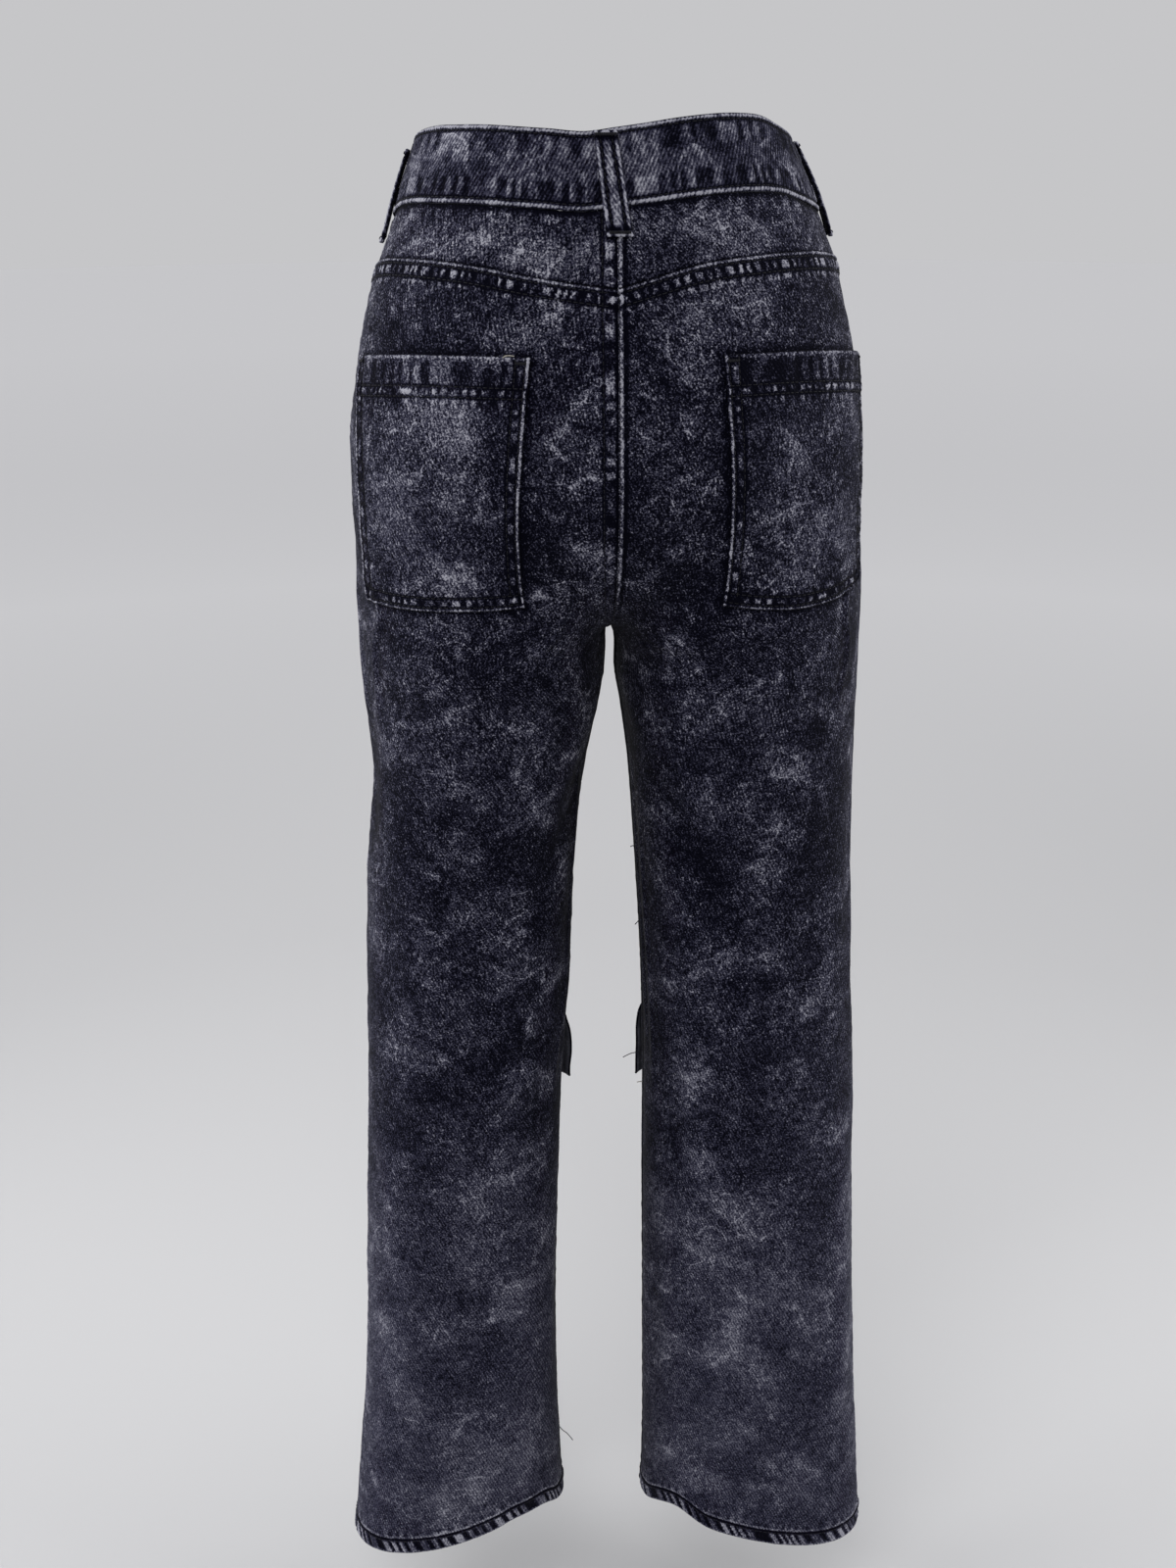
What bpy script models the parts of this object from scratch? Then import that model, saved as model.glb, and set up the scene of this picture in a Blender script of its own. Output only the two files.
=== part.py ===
# Cargo jeans as worn: a high-rise straight-leg pair of denim jeans with cargo pockets on the knees.
# Metres, +Z up. The wearer faces -Y, the wearer's left is +X. The origin is the middle of the waist.
# Every piece is cloth of a real thickness whose outer face follows one form: horizontal sections
# of the seat above the crotch, and of each leg below it.

from collections import namedtuple
import math

import bmesh
import bpy
from mathutils import Matrix, Vector
import numpy as np

# ---------------------------------------------------------------- driving sizes
PLY = 0.0018             # one ply of washed 12 oz denim, as it lies in the garment
SEAM_GAP = 0.0003        # clearance between neighbouring pieces
ON_TOP = 0.0009          # clearance under a piece that is sewn on top of a panel
CROTCH = -0.301          # height of the crotch point, from the waist
RISE_START = -0.190      # height at which the seat begins to part into two legs
RISE_POWER = 2.3         # roundness of the rise curve between the legs
MERGE_START = -0.150     # the rest of the seat turns into a leg over this stretch
MERGE_END = -0.430
OVAL_POWER = 2.25        # 2 is an ellipse; a little more gives flatter front and back
SHARE_STEP = 0.012       # steps to both sides of a point that its outward direction is taken from
HEIGHT_STEP = 0.0015

# how the grids are divided
PANEL_COLUMNS = 12
UPPER_ROWS = 4           # from the top of a leg panel to the start of the rise
RISE_ROWS = 6
CROTCH_DROPS = (0.009, 0.037)       # two rows close below the crotch, where the legs part
LEG_ROWS = 10
LEG_ROW_POWER = 1.15     # above 1 the rows are closer together on the thigh than at the hem
YOKE_ROWS = 3
BAND_COLUMNS = 14        # for each half section
BAND_ROWS = 3
POCKET_COLUMNS = 10
POCKET_ROWS = 8
POCKET_BOW = 0.0012       # the inner edge of a back pocket bows this far towards the centre seam
KNEE_POCKET_ROWS = 7
KNEE_FLAP_COLUMNS = 12
KNEE_FLAP_ROWS = 5
FLY_ROWS = 9
LOOP_ROWS = 8
BUTTON_STEPS = 24

HEM_MIDDLE = 0.115       # distance of a leg opening's middle from the centre plane
HEM_CORNER = 0.010       # how far from the inseam the hem is pulled down
HEM_LIFT = 0.014         # half width of the stretch next to it where the hem rides up
HEM_FOLD = 0.013         # width of the turned-up hem
HEM_PLY = 0.0030         # the hem is thicker, because it is folded over twice
HEM_STEP = 0.001         # the cloth turns from one thickness to the other over this height

BAND_HEIGHT = 0.042
BAND_OUT = 0.0008        # the waistband stands this far out of the form
BAND_PLY = 0.0030
FLY_OVERLAP = 0.018      # the button end of the waistband passes the centre front by this much
FLY_LIFT = 0.0036         # the lapped end lies this much further out
FLY_LIFT_START = 0.6     # it rises between these shares of the left front
FLY_LIFT_SPAN = 0.3

FLY_WIDTH = 0.036
FLY_LENGTH = 0.165
FLY_LAP = 0.004
FLY_BASE = 0.0013        # clearance under the placket, over the two front panels' edges
FLY_ACROSS = (0.2, 0.6, 1.0)        # shares of the width with a column of points
FLY_CURVE_START = 0.6    # the lower end rounds in from this share of the length
FLY_CURVE = 0.7

LOOP_WIDTH = 0.0138
LOOP_PLY = 0.0020
LOOP_BASE = 0.0014       # clearance of a loop's two sewn ends above the form
LOOP_BOW_POWER = 0.7
LOOP_FRONT_LIFT = 0.0004 # the front loops lie over a slightly fuller form

KNEE_FLAP_TOP = -0.598
KNEE_FLAP_HEIGHT = 0.066
KNEE_FLAP_REACH = (0.19, 0.885)     # from the side seam (0) to the inseam (1)
KNEE_FLAP_BASE = 0.0014
KNEE_FLAP_LIFT = 0.0030
KNEE_FLAP_FLARE = {"left": 0.0128, "right": 0.0065}   # the inseam end stands off the leg
KNEE_FLAP_FLARE_START = 0.6
KNEE_FLAP_FLARE_DROP = 3            # how the flare grows down the flap: fast, then slowly
KNEE_FLAP_SEWN = 0.2     # share of the height over which the flap comes away from its seam
KNEE_POCKET_TOP = -0.614
KNEE_POCKET_HEIGHT = 0.190
KNEE_POCKET_REACH = (0.23, 0.83)

BUTTON_RADIUS = 0.0085
BUTTON_HEIGHT = 0.0040
BUTTON_FROM_CENTRE = 0.004

LEFT = 1
RIGHT = -1
SIDES = {"left": LEFT, "right": RIGHT}

# ---------------------------------------------------------------- sections of the form
SeatLevel = namedtuple("SeatLevel", "z half_left half_right front back")
SEAT = [
    SeatLevel(0.020, 0.1030, 0.0990, 0.080, 0.0850),
    SeatLevel(-0.008, 0.1141, 0.1098, 0.086, 0.0885),
    SeatLevel(-0.042, 0.1262, 0.1253, 0.094, 0.0945),
    SeatLevel(-0.058, 0.1313, 0.1318, 0.0964, 0.0978),
    SeatLevel(-0.076, 0.1382, 0.1390, 0.099, 0.1015),
    SeatLevel(-0.092, 0.1441, 0.1431, 0.1001, 0.1042),
    SeatLevel(-0.120, 0.1508, 0.1505, 0.102, 0.1090),
    SeatLevel(-0.173, 0.1602, 0.1580, 0.101, 0.1140),
    SeatLevel(-0.220, 0.1618, 0.1604, 0.100, 0.1145),
    SeatLevel(-0.280, 0.1600, 0.1622, 0.097, 0.1105),
    SeatLevel(-0.350, 0.1606, 0.1632, 0.091, 0.1020),
    SeatLevel(-0.440, 0.1636, 0.1650, 0.080, 0.0860),
]

# inner and outer are distances from the centre plane; turn is the section's turn in degrees,
# outer side to the back; the two legs hang a little differently
LegLevel = namedtuple("LegLevel", "z inner_left outer_left inner_right outer_right front back centre turn")
LEGS = [
    LegLevel(-0.190, 0.0004, 0.1610, 0.0004, 0.1600, 0.0980, 0.1140, 0.000, 0.0),
    LegLevel(-0.250, 0.0004, 0.1612, 0.0004, 0.1620, 0.0940, 0.1080, -0.002, 0.0),
    LegLevel(-0.292, 0.0004, 0.1604, 0.0004, 0.1639, 0.0910, 0.1035, -0.005, 0.0),
    LegLevel(-0.302, 0.0004, 0.1603, 0.0004, 0.1641, 0.0900, 0.1020, -0.006, 0.0),
    LegLevel(-0.310, 0.0014, 0.1602, 0.0042, 0.1642, 0.0885, 0.1005, -0.006, 0.0),
    LegLevel(-0.336, 0.0026, 0.1598, 0.0056, 0.1644, 0.0855, 0.0950, -0.006, 0.7),
    LegLevel(-0.360, 0.0070, 0.1592, 0.0096, 0.1646, 0.0830, 0.0915, -0.006, 1.2),
    LegLevel(-0.395, 0.0150, 0.1588, 0.0142, 0.1652, 0.0800, 0.0860, -0.005, 2.0),
    LegLevel(-0.450, 0.0220, 0.1628, 0.0184, 0.1668, 0.0740, 0.0780, -0.004, 3.0),
    LegLevel(-0.560, 0.0280, 0.1679, 0.0246, 0.1717, 0.0690, 0.0700, -0.002, 4.0),
    LegLevel(-0.630, 0.0338, 0.1718, 0.0262, 0.1752, 0.0665, 0.0670, -0.001, 5.5),
    LegLevel(-0.700, 0.0366, 0.1748, 0.0262, 0.1783, 0.0640, 0.0640, 0.000, 7.0),
    LegLevel(-0.870, 0.0406, 0.1827, 0.0280, 0.1875, 0.0580, 0.0580, 0.001, 11.0),
    LegLevel(-0.960, 0.0390, 0.1917, 0.0285, 0.1924, 0.0550, 0.0550, 0.001, 13.0),
    LegLevel(-1.060, 0.0340, 0.2025, 0.0266, 0.1990, 0.0520, 0.0520, 0.001, 14.0),
]

# around runs from the centre front (0) over the side seam (0.5) to the centre back (1)
EdgeMark = namedtuple("EdgeMark", "around left right")
WAIST_EDGE = [
    EdgeMark(around=0.00, left=-0.0100, right=-0.0100),
    EdgeMark(around=0.30, left=-0.0095, right=-0.0095),
    EdgeMark(around=0.50, left=-0.0070, right=-0.0075),
    EdgeMark(around=0.57, left=-0.0010, right=-0.0040),
    EdgeMark(around=0.64, left=0.0020, right=0.0010),
    EdgeMark(around=0.70, left=0.0025, right=0.0065),
    EdgeMark(around=0.76, left=0.0025, right=0.0080),
    EdgeMark(around=0.88, left=0.0005, right=0.0060),
    EdgeMark(around=0.95, left=-0.0010, right=0.0030),
    EdgeMark(around=1.00, left=0.0010, right=0.0010),
]
YOKE_SEAM = [
    EdgeMark(around=0.50, left=-0.0780, right=-0.0770),
    EdgeMark(around=0.58, left=-0.0720, right=-0.0715),
    EdgeMark(around=0.66, left=-0.0700, right=-0.0680),
    EdgeMark(around=0.78, left=-0.0720, right=-0.0680),
    EdgeMark(around=0.88, left=-0.0780, right=-0.0720),
    EdgeMark(around=0.95, left=-0.0820, right=-0.0790),
    EdgeMark(around=1.00, left=-0.0845, right=-0.0845),
]

# leg openings: height of the middle, how much lower the outer side hangs, how far the hem is pulled
# down at the inseam, and how far it rides up next to that and at what distance
LegOpening = namedtuple("LegOpening", "height tilt corner lift lift_from")
LEG_OPENINGS = {
    "left": LegOpening(height=-1.013, tilt=0.17, corner=0.0140, lift=0.0026, lift_from=0.037),
    "right": LegOpening(height=-1.024, tilt=0.12, corner=0.0090, lift=0.0100, lift_from=0.027),
}

# back pockets: a row for the mouth and one for the foot, with the distances of the two corners
# along the cloth from the centre back seam, their heights, and how far the edge sags between them
PocketEdge = namedtuple("PocketEdge", "inner outer inner_height outer_height sag")
BACK_POCKETS = {
    "left": (
        PocketEdge(inner=0.0493, outer=0.1795, inner_height=-0.1210, outer_height=-0.1277, sag=-0.0026),
        PocketEdge(inner=0.0695, outer=0.1770, inner_height=-0.2675, outer_height=-0.2735, sag=0.001),
    ),
    "right": (
        PocketEdge(inner=0.0600, outer=0.1865, inner_height=-0.1210, outer_height=-0.1300, sag=-0.003),
        PocketEdge(inner=0.0788, outer=0.1835, inner_height=-0.2685, outer_height=-0.2670, sag=0.006),
    ),
}

# belt loops: where each stands around the waist, how far its foot leans towards the side, how far
# below the edge of the waistband it starts, its length, and how far its middle stands off
LoopPlace = namedtuple("LoopPlace", "name side around lean drop length bow")
BELT_LOOPS = [
    LoopPlace("belt_loop_back", LEFT, 0.981, 0.008, 0.0010, 0.056, 0.0014),
    LoopPlace("belt_loop_side_left", LEFT, 0.500, 0.0, 0.0055, 0.053, 0.0004),
    LoopPlace("belt_loop_side_right", RIGHT, 0.510, 0.0, 0.0025, 0.054, 0.0014),
    LoopPlace("belt_loop_front_left", LEFT, 0.260, 0.0, 0.0010, 0.055, 0.0014),
    LoopPlace("belt_loop_front_right", RIGHT, 0.260, 0.0, 0.0010, 0.055, 0.0014),
]


# ---------------------------------------------------------------- the form
def read(levels, key, column, place):
    """Smooth reading of one column of a table at the given places along its key column."""
    keys = np.array([getattr(row, key) for row in levels])
    values = np.array([getattr(row, column) for row in levels])
    order = np.argsort(keys)
    keys = keys[order]
    values = values[order]
    slopes = np.gradient(values, keys)
    index = np.clip(np.searchsorted(keys, place) - 1, 0, len(keys) - 2)
    step = keys[index + 1] - keys[index]
    t = (place - keys[index]) / step
    start = values[index] * (1 + 2 * t) * (1 - t) ** 2 + slopes[index] * step * t * (1 - t) ** 2
    end = values[index + 1] * t * t * (3 - 2 * t) + slopes[index + 1] * step * t * t * (t - 1)
    return start + end


def read_side(levels, key, column, side, place):
    """The same for a table that has one column for each side of the body."""
    left = read(levels, key, column + "left", place)
    right = read(levels, key, column + "right", place)
    return np.where(side > 0, left, right)


def smooth_step(value):
    value = np.clip(value, 0, 1)
    return value * value * (3 - 2 * value)


def oval(angle):
    """A point of the unit oval that every section is stretched from."""
    power = 2 / OVAL_POWER
    cosine = np.cos(angle)
    return np.sign(cosine) * np.abs(cosine) ** power, np.abs(np.sin(angle)) ** power


def even_angle(width, depth, sweep, share):
    """Angle of the oval at which the given share of its length, from the side seam, is covered."""
    samples = 72
    angles = np.linspace(0, sweep, samples + 1)
    across, along = oval(angles)
    steps = np.hypot(np.diff(width[:, None] * across), np.diff(depth[:, None] * along))
    covered = np.concatenate([np.zeros((len(width), 1)), np.cumsum(steps, axis=1)], axis=1)
    wanted = share * covered[:, -1]
    index = np.clip((covered <= wanted[:, None]).sum(axis=1) - 1, 0, samples - 1)
    rows = np.arange(len(width))
    part = (wanted - covered[rows, index]) / (covered[rows, index + 1] - covered[rows, index])
    return angles[index] + part * angles[1]


def form(side, back, share, z):
    """Points of the form. share runs from the side seam (0) to the centre seam or inseam (1)."""
    sign = np.where(back, 1.0, -1.0)
    half_width = read_side(SEAT, "z", "half_", side, z)
    depth = np.where(back, read(SEAT, "z", "back", z), read(SEAT, "z", "front", z))
    across, along = oval(even_angle(half_width, depth, math.pi / 2, share))
    seat_x = half_width * across
    seat_y = sign * depth * along

    inner = read_side(LEGS, "z", "inner_", side, z)
    outer = read_side(LEGS, "z", "outer_", side, z)
    depth = np.where(back, read(LEGS, "z", "back", z), read(LEGS, "z", "front", z))
    centre = read(LEGS, "z", "centre", z)
    turn = np.radians(read(LEGS, "z", "turn", z))
    reach = (outer - inner) / 2
    width = np.sqrt(reach ** 2 - (depth * np.sin(turn)) ** 2) / np.cos(turn)
    across, along = oval(even_angle(width, depth, math.pi, share))
    leg_x = (inner + outer) / 2 + width * across * np.cos(turn) - sign * depth * along * np.sin(turn)
    leg_y = centre + width * across * np.sin(turn) + sign * depth * along * np.cos(turn)

    # along the centre seam the seat parts on the rise curve, further out it does so slowly
    fall = np.clip((RISE_START - z) / (RISE_START - CROTCH), 0, 1)
    at_seam = 1 - (1 - fall ** RISE_POWER) ** (1 / RISE_POWER)
    away = smooth_step((MERGE_START - z) / (MERGE_START - MERGE_END))
    near_seam = smooth_step((share - 0.5) / 0.5)
    parted = away + (at_seam - away) * near_seam
    x = side * ((1 - parted) * seat_x + parted * leg_x)
    y = (1 - parted) * seat_y + parted * leg_y
    return np.stack([x, y, z], axis=-1)


def half_length(side, back, z):
    """Length of cloth from the side seam to the centre seam or inseam at a height."""
    shares = np.linspace(0, 1, 61)
    points = form(np.full(61, side), np.full(61, back), shares, np.full(61, z))
    return float(np.linalg.norm(np.diff(points, axis=0), axis=1).sum())


def skin(side, back, share, z, height):
    """Points of the form moved out along its normal by a height."""
    side, back, share, z, height = np.broadcast_arrays(side, back, share, z, height)
    shape = share.shape
    side, back, share, z, height = [part.ravel() for part in (side, back, share, z, height)]
    ahead = form(side, back, np.clip(share + SHARE_STEP, 0, 1), z)
    behind = form(side, back, np.clip(share - SHARE_STEP, 0, 1), z)
    above = form(side, back, share, z + HEIGHT_STEP)
    below = form(side, back, share, z - HEIGHT_STEP)
    normal = np.cross(ahead - behind, above - below)
    normal *= np.where(back, 1.0, -1.0)[:, None] * side[:, None]
    normal /= np.linalg.norm(normal, axis=1)[:, None]
    points = form(side, back, share, z) + height[:, None] * normal
    return points.reshape(shape + (3,))


def seam_margin(side, back, z):
    """Half a seam gap as a share of the half section."""
    return SEAM_GAP / 2 / half_length(side, back, z)


def waist_edge(side, around):
    return read_side(WAIST_EDGE, "around", "", side, around)


def band_seam(side, around):
    return waist_edge(side, around) - BAND_HEIGHT


def around_from(back, share):
    return np.where(back, 0.5 + share / 2, 0.5 - share / 2)


def hem_line(word, back, share):
    """Height of the hem edge around the leg opening, pulled down at the inseam."""
    opening = LEG_OPENINGS[word]
    level = np.full(share.shape, opening.height)
    side = np.full(share.shape, SIDES[word])
    x = np.abs(form(side, np.full(share.shape, back), share, level)[:, 0])
    from_inseam = x - read_side(LEGS, "z", "inner_", side, level)
    corner = opening.corner * np.exp(-(from_inseam / HEM_CORNER) ** 2)
    lift = opening.lift * np.exp(-((from_inseam - opening.lift_from) / HEM_LIFT) ** 2)
    return opening.height - opening.tilt * (x - HEM_MIDDLE) - corner + lift


# ---------------------------------------------------------------- making solids
def material(name, colour, roughness, metallic=0.0):
    made = bpy.data.materials.new(name)
    made.use_nodes = True
    shader = made.node_tree.nodes["Principled BSDF"]
    shader.inputs["Base Color"].default_value = (*colour, 1)
    shader.inputs["Roughness"].default_value = roughness
    shader.inputs["Metallic"].default_value = metallic
    return made


def finish(name, bm, finish_material):
    bmesh.ops.recalc_face_normals(bm, faces=bm.faces)
    mesh = bpy.data.meshes.new(name)
    bm.to_mesh(mesh)
    bm.free()
    mesh.materials.append(finish_material)
    mesh.shade_smooth()
    mesh.set_sharp_from_angle(angle=math.radians(50))
    piece = bpy.data.objects.new(name, mesh)
    bpy.context.collection.objects.link(piece)
    return piece


def cloth(name, outer, inner, finish_material):
    """A closed piece of cloth between two grids of points of the same shape."""
    rows, columns = outer.shape[:2]
    bm = bmesh.new()
    face, lining = [[[bm.verts.new(point) for point in row] for row in grid] for grid in (outer, inner)]
    for i in range(rows - 1):
        for j in range(columns - 1):
            corners = [(i, j), (i + 1, j), (i + 1, j + 1), (i, j + 1)]
            bm.faces.new([face[a][b] for a, b in corners])
            bm.faces.new([lining[a][b] for a, b in reversed(corners)])
    rim = [(i, 0) for i in range(rows)]
    rim += [(rows - 1, j) for j in range(1, columns)]
    rim += [(i, columns - 1) for i in range(rows - 2, -1, -1)]
    rim += [(0, j) for j in range(columns - 2, 0, -1)]
    for (a, b), (c, d) in zip(rim, rim[1:] + rim[:1]):
        bm.faces.new([face[a][b], lining[a][b], lining[c][d], face[c][d]])
    return finish(name, bm, finish_material)


def on_panel(name, side, back, share, z, base, ply, finish_material):
    """A piece of cloth laid over a panel, its underside a given height above the form."""
    outer = skin(side, back, share, z, base + ply)
    inner = skin(side, back, share, z, base)
    return cloth(name, outer, inner, finish_material)


# ---------------------------------------------------------------- the pieces
def leg_panel(name, word, back, denim):
    """Front or back of one leg, from its upper seam to the hem, side seam to centre seam."""
    side = SIDES[word]
    margin = seam_margin(side, back, RISE_START)
    share = np.linspace(margin, 1 - margin, PANEL_COLUMNS + 1)
    around = around_from(back, share)
    if back:
        top = read_side(YOKE_SEAM, "around", "", side, around) - SEAM_GAP
    else:
        top = band_seam(side, around) - SEAM_GAP
    hem = hem_line(word, back, share)

    rows = []
    for i in range(UPPER_ROWS):
        rows.append(top + (RISE_START - top) * i / UPPER_ROWS)
    for i in range(RISE_ROWS + 1):
        drop = math.sin(math.pi / 2 * i / RISE_ROWS) ** (2 / RISE_POWER)
        rows.append(np.full(share.shape, RISE_START + (CROTCH - RISE_START) * drop))
    for drop in CROTCH_DROPS:
        rows.append(np.full(share.shape, CROTCH - drop))
    thigh = CROTCH - CROTCH_DROPS[-1]
    for i in range(1, LEG_ROWS + 1):
        part = (i / LEG_ROWS) ** LEG_ROW_POWER
        rows.append(thigh + (hem + HEM_FOLD - thigh) * part)
    ply = [PLY] * len(rows) + [HEM_PLY, HEM_PLY]
    rows.append(hem + HEM_FOLD - HEM_STEP)
    rows.append(hem)

    z = np.array(rows)
    depth = np.array(ply)[:, None]
    outer = skin(side, back, share[None, :], z, 0.0)
    inner = skin(side, back, share[None, :], z, -depth)
    return cloth(name, outer, inner, denim)


def yoke(name, side, denim):
    """The wedge between the waistband and a back panel."""
    margin = seam_margin(side, True, -BAND_HEIGHT)
    share = np.linspace(margin, 1 - margin, PANEL_COLUMNS + 1)
    around = around_from(True, share)
    top = band_seam(side, around) - SEAM_GAP
    low = read_side(YOKE_SEAM, "around", "", side, around)
    part = np.linspace(0, 1, YOKE_ROWS + 1)[:, None]
    z = top + (low - top) * part
    return on_panel(name, side, True, share[None, :], z, -PLY, PLY, denim)


def waistband(denim):
    """One strip all round, its left end lapped over its right end at the centre front."""
    turn = np.linspace(0, 1, BAND_COLUMNS + 1)
    lap = FLY_OVERLAP / half_length(RIGHT, False, -BAND_HEIGHT / 2)
    margin = seam_margin(RIGHT, False, -BAND_HEIGHT / 2)
    stations = [(RIGHT, False, q * (1 - margin), 0.0) for q in turn[::-1]]
    stations += [(RIGHT, True, q, 0.0) for q in turn[1:]]
    stations += [(LEFT, True, q, 0.0) for q in turn[::-1][1:]]
    for q in turn[1:]:
        risen = np.clip((q - FLY_LIFT_START) / FLY_LIFT_SPAN, 0, 1)
        stations.append((LEFT, False, q, FLY_LIFT * risen))
    stations += [(RIGHT, False, 1 - lap * part, FLY_LIFT) for part in (0.5, 1.0)]
    side, back, share, lift = [np.array(column) for column in zip(*stations)]
    top = waist_edge(side, around_from(back, share))
    part = np.linspace(0, 1, BAND_ROWS + 1)[:, None]
    z = top - BAND_HEIGHT * part
    outer = skin(side[None, :], back[None, :], share[None, :], z, BAND_OUT + lift[None, :])
    inner = skin(side[None, :], back[None, :], share[None, :], z, BAND_OUT - BAND_PLY + lift[None, :])
    return cloth("waistband", outer, inner, denim)


def back_pocket(name, word, denim):
    """A large patch pocket: straight mouth, rounded lower edge, inner edge leaning outwards."""
    side = SIDES[word]
    mouth, foot = BACK_POCKETS[word]
    across = np.linspace(0, 1, POCKET_COLUMNS + 1)
    heights = []
    for edge in (mouth, foot):
        straight = edge.inner_height + (edge.outer_height - edge.inner_height) * across
        heights.append(straight - edge.sag * np.sin(math.pi * across))
    z = np.empty((POCKET_ROWS + 1, POCKET_COLUMNS + 1))
    share = np.empty_like(z)
    for i in range(POCKET_ROWS + 1):
        down = i / POCKET_ROWS
        z[i] = heights[0] + (heights[1] - heights[0]) * down
        inner = mouth.inner + (foot.inner - mouth.inner) * down - POCKET_BOW * math.sin(math.pi * down)
        outer = mouth.outer + (foot.outer - mouth.outer) * down
        length = half_length(side, True, float(z[i].mean()))
        share[i] = 1 - (inner + (outer - inner) * across) / length
    return on_panel(name, side, True, share, z, ON_TOP, PLY, denim)


def cargo_pocket(name, side, denim):
    """A patch pocket on the front of the knee."""
    reach = np.linspace(*KNEE_POCKET_REACH, POCKET_COLUMNS + 1)[None, :]
    down = np.linspace(0, 1, KNEE_POCKET_ROWS + 1)[:, None]
    z = KNEE_POCKET_TOP - KNEE_POCKET_HEIGHT * down + 0 * reach
    return on_panel(name, side, False, reach + 0 * z, z, ON_TOP, PLY, denim)


def cargo_flap(name, word, denim):
    """The flap over a knee pocket. Its inseam end stands away from the leg."""
    side = SIDES[word]
    start, stop = KNEE_FLAP_REACH
    reach = np.linspace(start, stop, KNEE_FLAP_COLUMNS + 1)[None, :]
    down = np.linspace(0, 1, KNEE_FLAP_ROWS + 1)[:, None]
    z = KNEE_FLAP_TOP - KNEE_FLAP_HEIGHT * down + 0 * reach
    free = np.clip(down / KNEE_FLAP_SEWN, 0, 1)
    end = np.clip((reach - KNEE_FLAP_FLARE_START) / (stop - KNEE_FLAP_FLARE_START), 0, 1)
    flare = KNEE_FLAP_FLARE[word] * end ** 2 * (1 - (1 - down) ** KNEE_FLAP_FLARE_DROP)
    base = KNEE_FLAP_BASE + KNEE_FLAP_LIFT * free + flare
    return on_panel(name, side, False, reach + 0 * z, z, base, PLY, denim)


def fly_placket(denim):
    """The stitched strip that closes the front, with a rounded lower end."""
    across = np.array([-FLY_LAP, -FLY_LAP / 4] + [FLY_WIDTH * part for part in FLY_ACROSS])
    top = float(band_seam(np.array([LEFT]), np.array([0.0]))[0]) - SEAM_GAP
    side = np.where(across < 0, RIGHT, LEFT)[None, :]
    z = np.empty((FLY_ROWS + 1, len(across)))
    share = np.empty_like(z)
    for i in range(FLY_ROWS + 1):
        down = i / FLY_ROWS
        level = top - FLY_LENGTH * down
        past = max(0.0, (down - FLY_CURVE_START) / (1 - FLY_CURVE_START))
        narrowing = np.where(across > 0, 1 - FLY_CURVE * past ** 2, 1)
        z[i] = level
        share[i] = 1 - np.abs(across) * narrowing / half_length(LEFT, False, level)
    return on_panel("fly_placket", side, False, share, z, FLY_BASE, PLY, denim)


def belt_loop(place, denim):
    """A folded strip over the waistband, sewn at both ends and bowed out between them."""
    down = np.linspace(0, 1, LOOP_ROWS + 1)[:, None]
    back = place.around > 0.5
    at_seam = abs(place.around - 0.5) * 2
    across = np.array([-0.5, 0.0, 0.5]) * LOOP_WIDTH
    length = half_length(place.side, back, -place.length / 2)
    offset = at_seam * length + across + place.lean * down
    side = np.full(offset.shape, place.side)
    behind = np.full(offset.shape, back)
    share = offset / length
    # a strip that crosses the side seam or the centre seam goes on round the other piece
    over_side = share < 0
    over_centre = share > 1
    behind = np.where(over_side, ~behind, behind)
    side = np.where(over_centre, -side, side)
    share = np.where(over_centre, 2 - share, np.abs(share))
    top = waist_edge(np.array([place.side]), np.array([place.around]))[0] - place.drop
    z = top - place.length * down + 0 * share
    bow = LOOP_BASE + place.bow * np.abs(np.sin(math.pi * down)) ** LOOP_BOW_POWER
    if place.around < 0.5:
        bow = bow + LOOP_FRONT_LIFT
    outer = skin(side, behind, share, z, bow + LOOP_PLY)
    inner = skin(side, behind, share, z, bow)
    return cloth(place.name, outer, inner, denim)


def waist_button(metal):
    """A domed shank button on the lapped end of the waistband."""
    profile = [
        (0.0, 0.0),
        (BUTTON_RADIUS * 0.90, 0.0),
        (BUTTON_RADIUS, BUTTON_HEIGHT * 0.35),
        (BUTTON_RADIUS * 0.92, BUTTON_HEIGHT * 0.75),
        (BUTTON_RADIUS * 0.70, BUTTON_HEIGHT * 0.90),
        (BUTTON_RADIUS * 0.35, BUTTON_HEIGHT),
        (0.0, BUTTON_HEIGHT),
    ]
    bm = bmesh.new()
    points = [bm.verts.new((radius, 0, height)) for radius, height in profile]
    edges = [bm.edges.new(pair) for pair in zip(points, points[1:])]
    bmesh.ops.spin(bm, geom=points + edges, cent=(0, 0, 0), axis=(0, 0, 1),
                   angle=2 * math.pi, steps=BUTTON_STEPS, use_merge=True)
    bmesh.ops.remove_doubles(bm, verts=bm.verts, dist=0.00001)
    share = np.array([1 - BUTTON_FROM_CENTRE / half_length(RIGHT, False, -BAND_HEIGHT / 2)])
    height = float(waist_edge(np.array([RIGHT]), np.array([0.0]))[0]) - BAND_HEIGHT / 2
    lift = BAND_OUT + FLY_LIFT + SEAM_GAP
    seat = Vector(skin(RIGHT, False, share, np.array([height]), lift)[0])
    tip = Vector(skin(RIGHT, False, share, np.array([height]), lift + 0.01)[0])
    facing = (tip - seat).to_track_quat("Z", "Y").to_matrix().to_4x4()
    bmesh.ops.transform(bm, matrix=Matrix.Translation(seat) @ facing, verts=bm.verts)
    return finish("waist_button", bm, metal)


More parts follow.
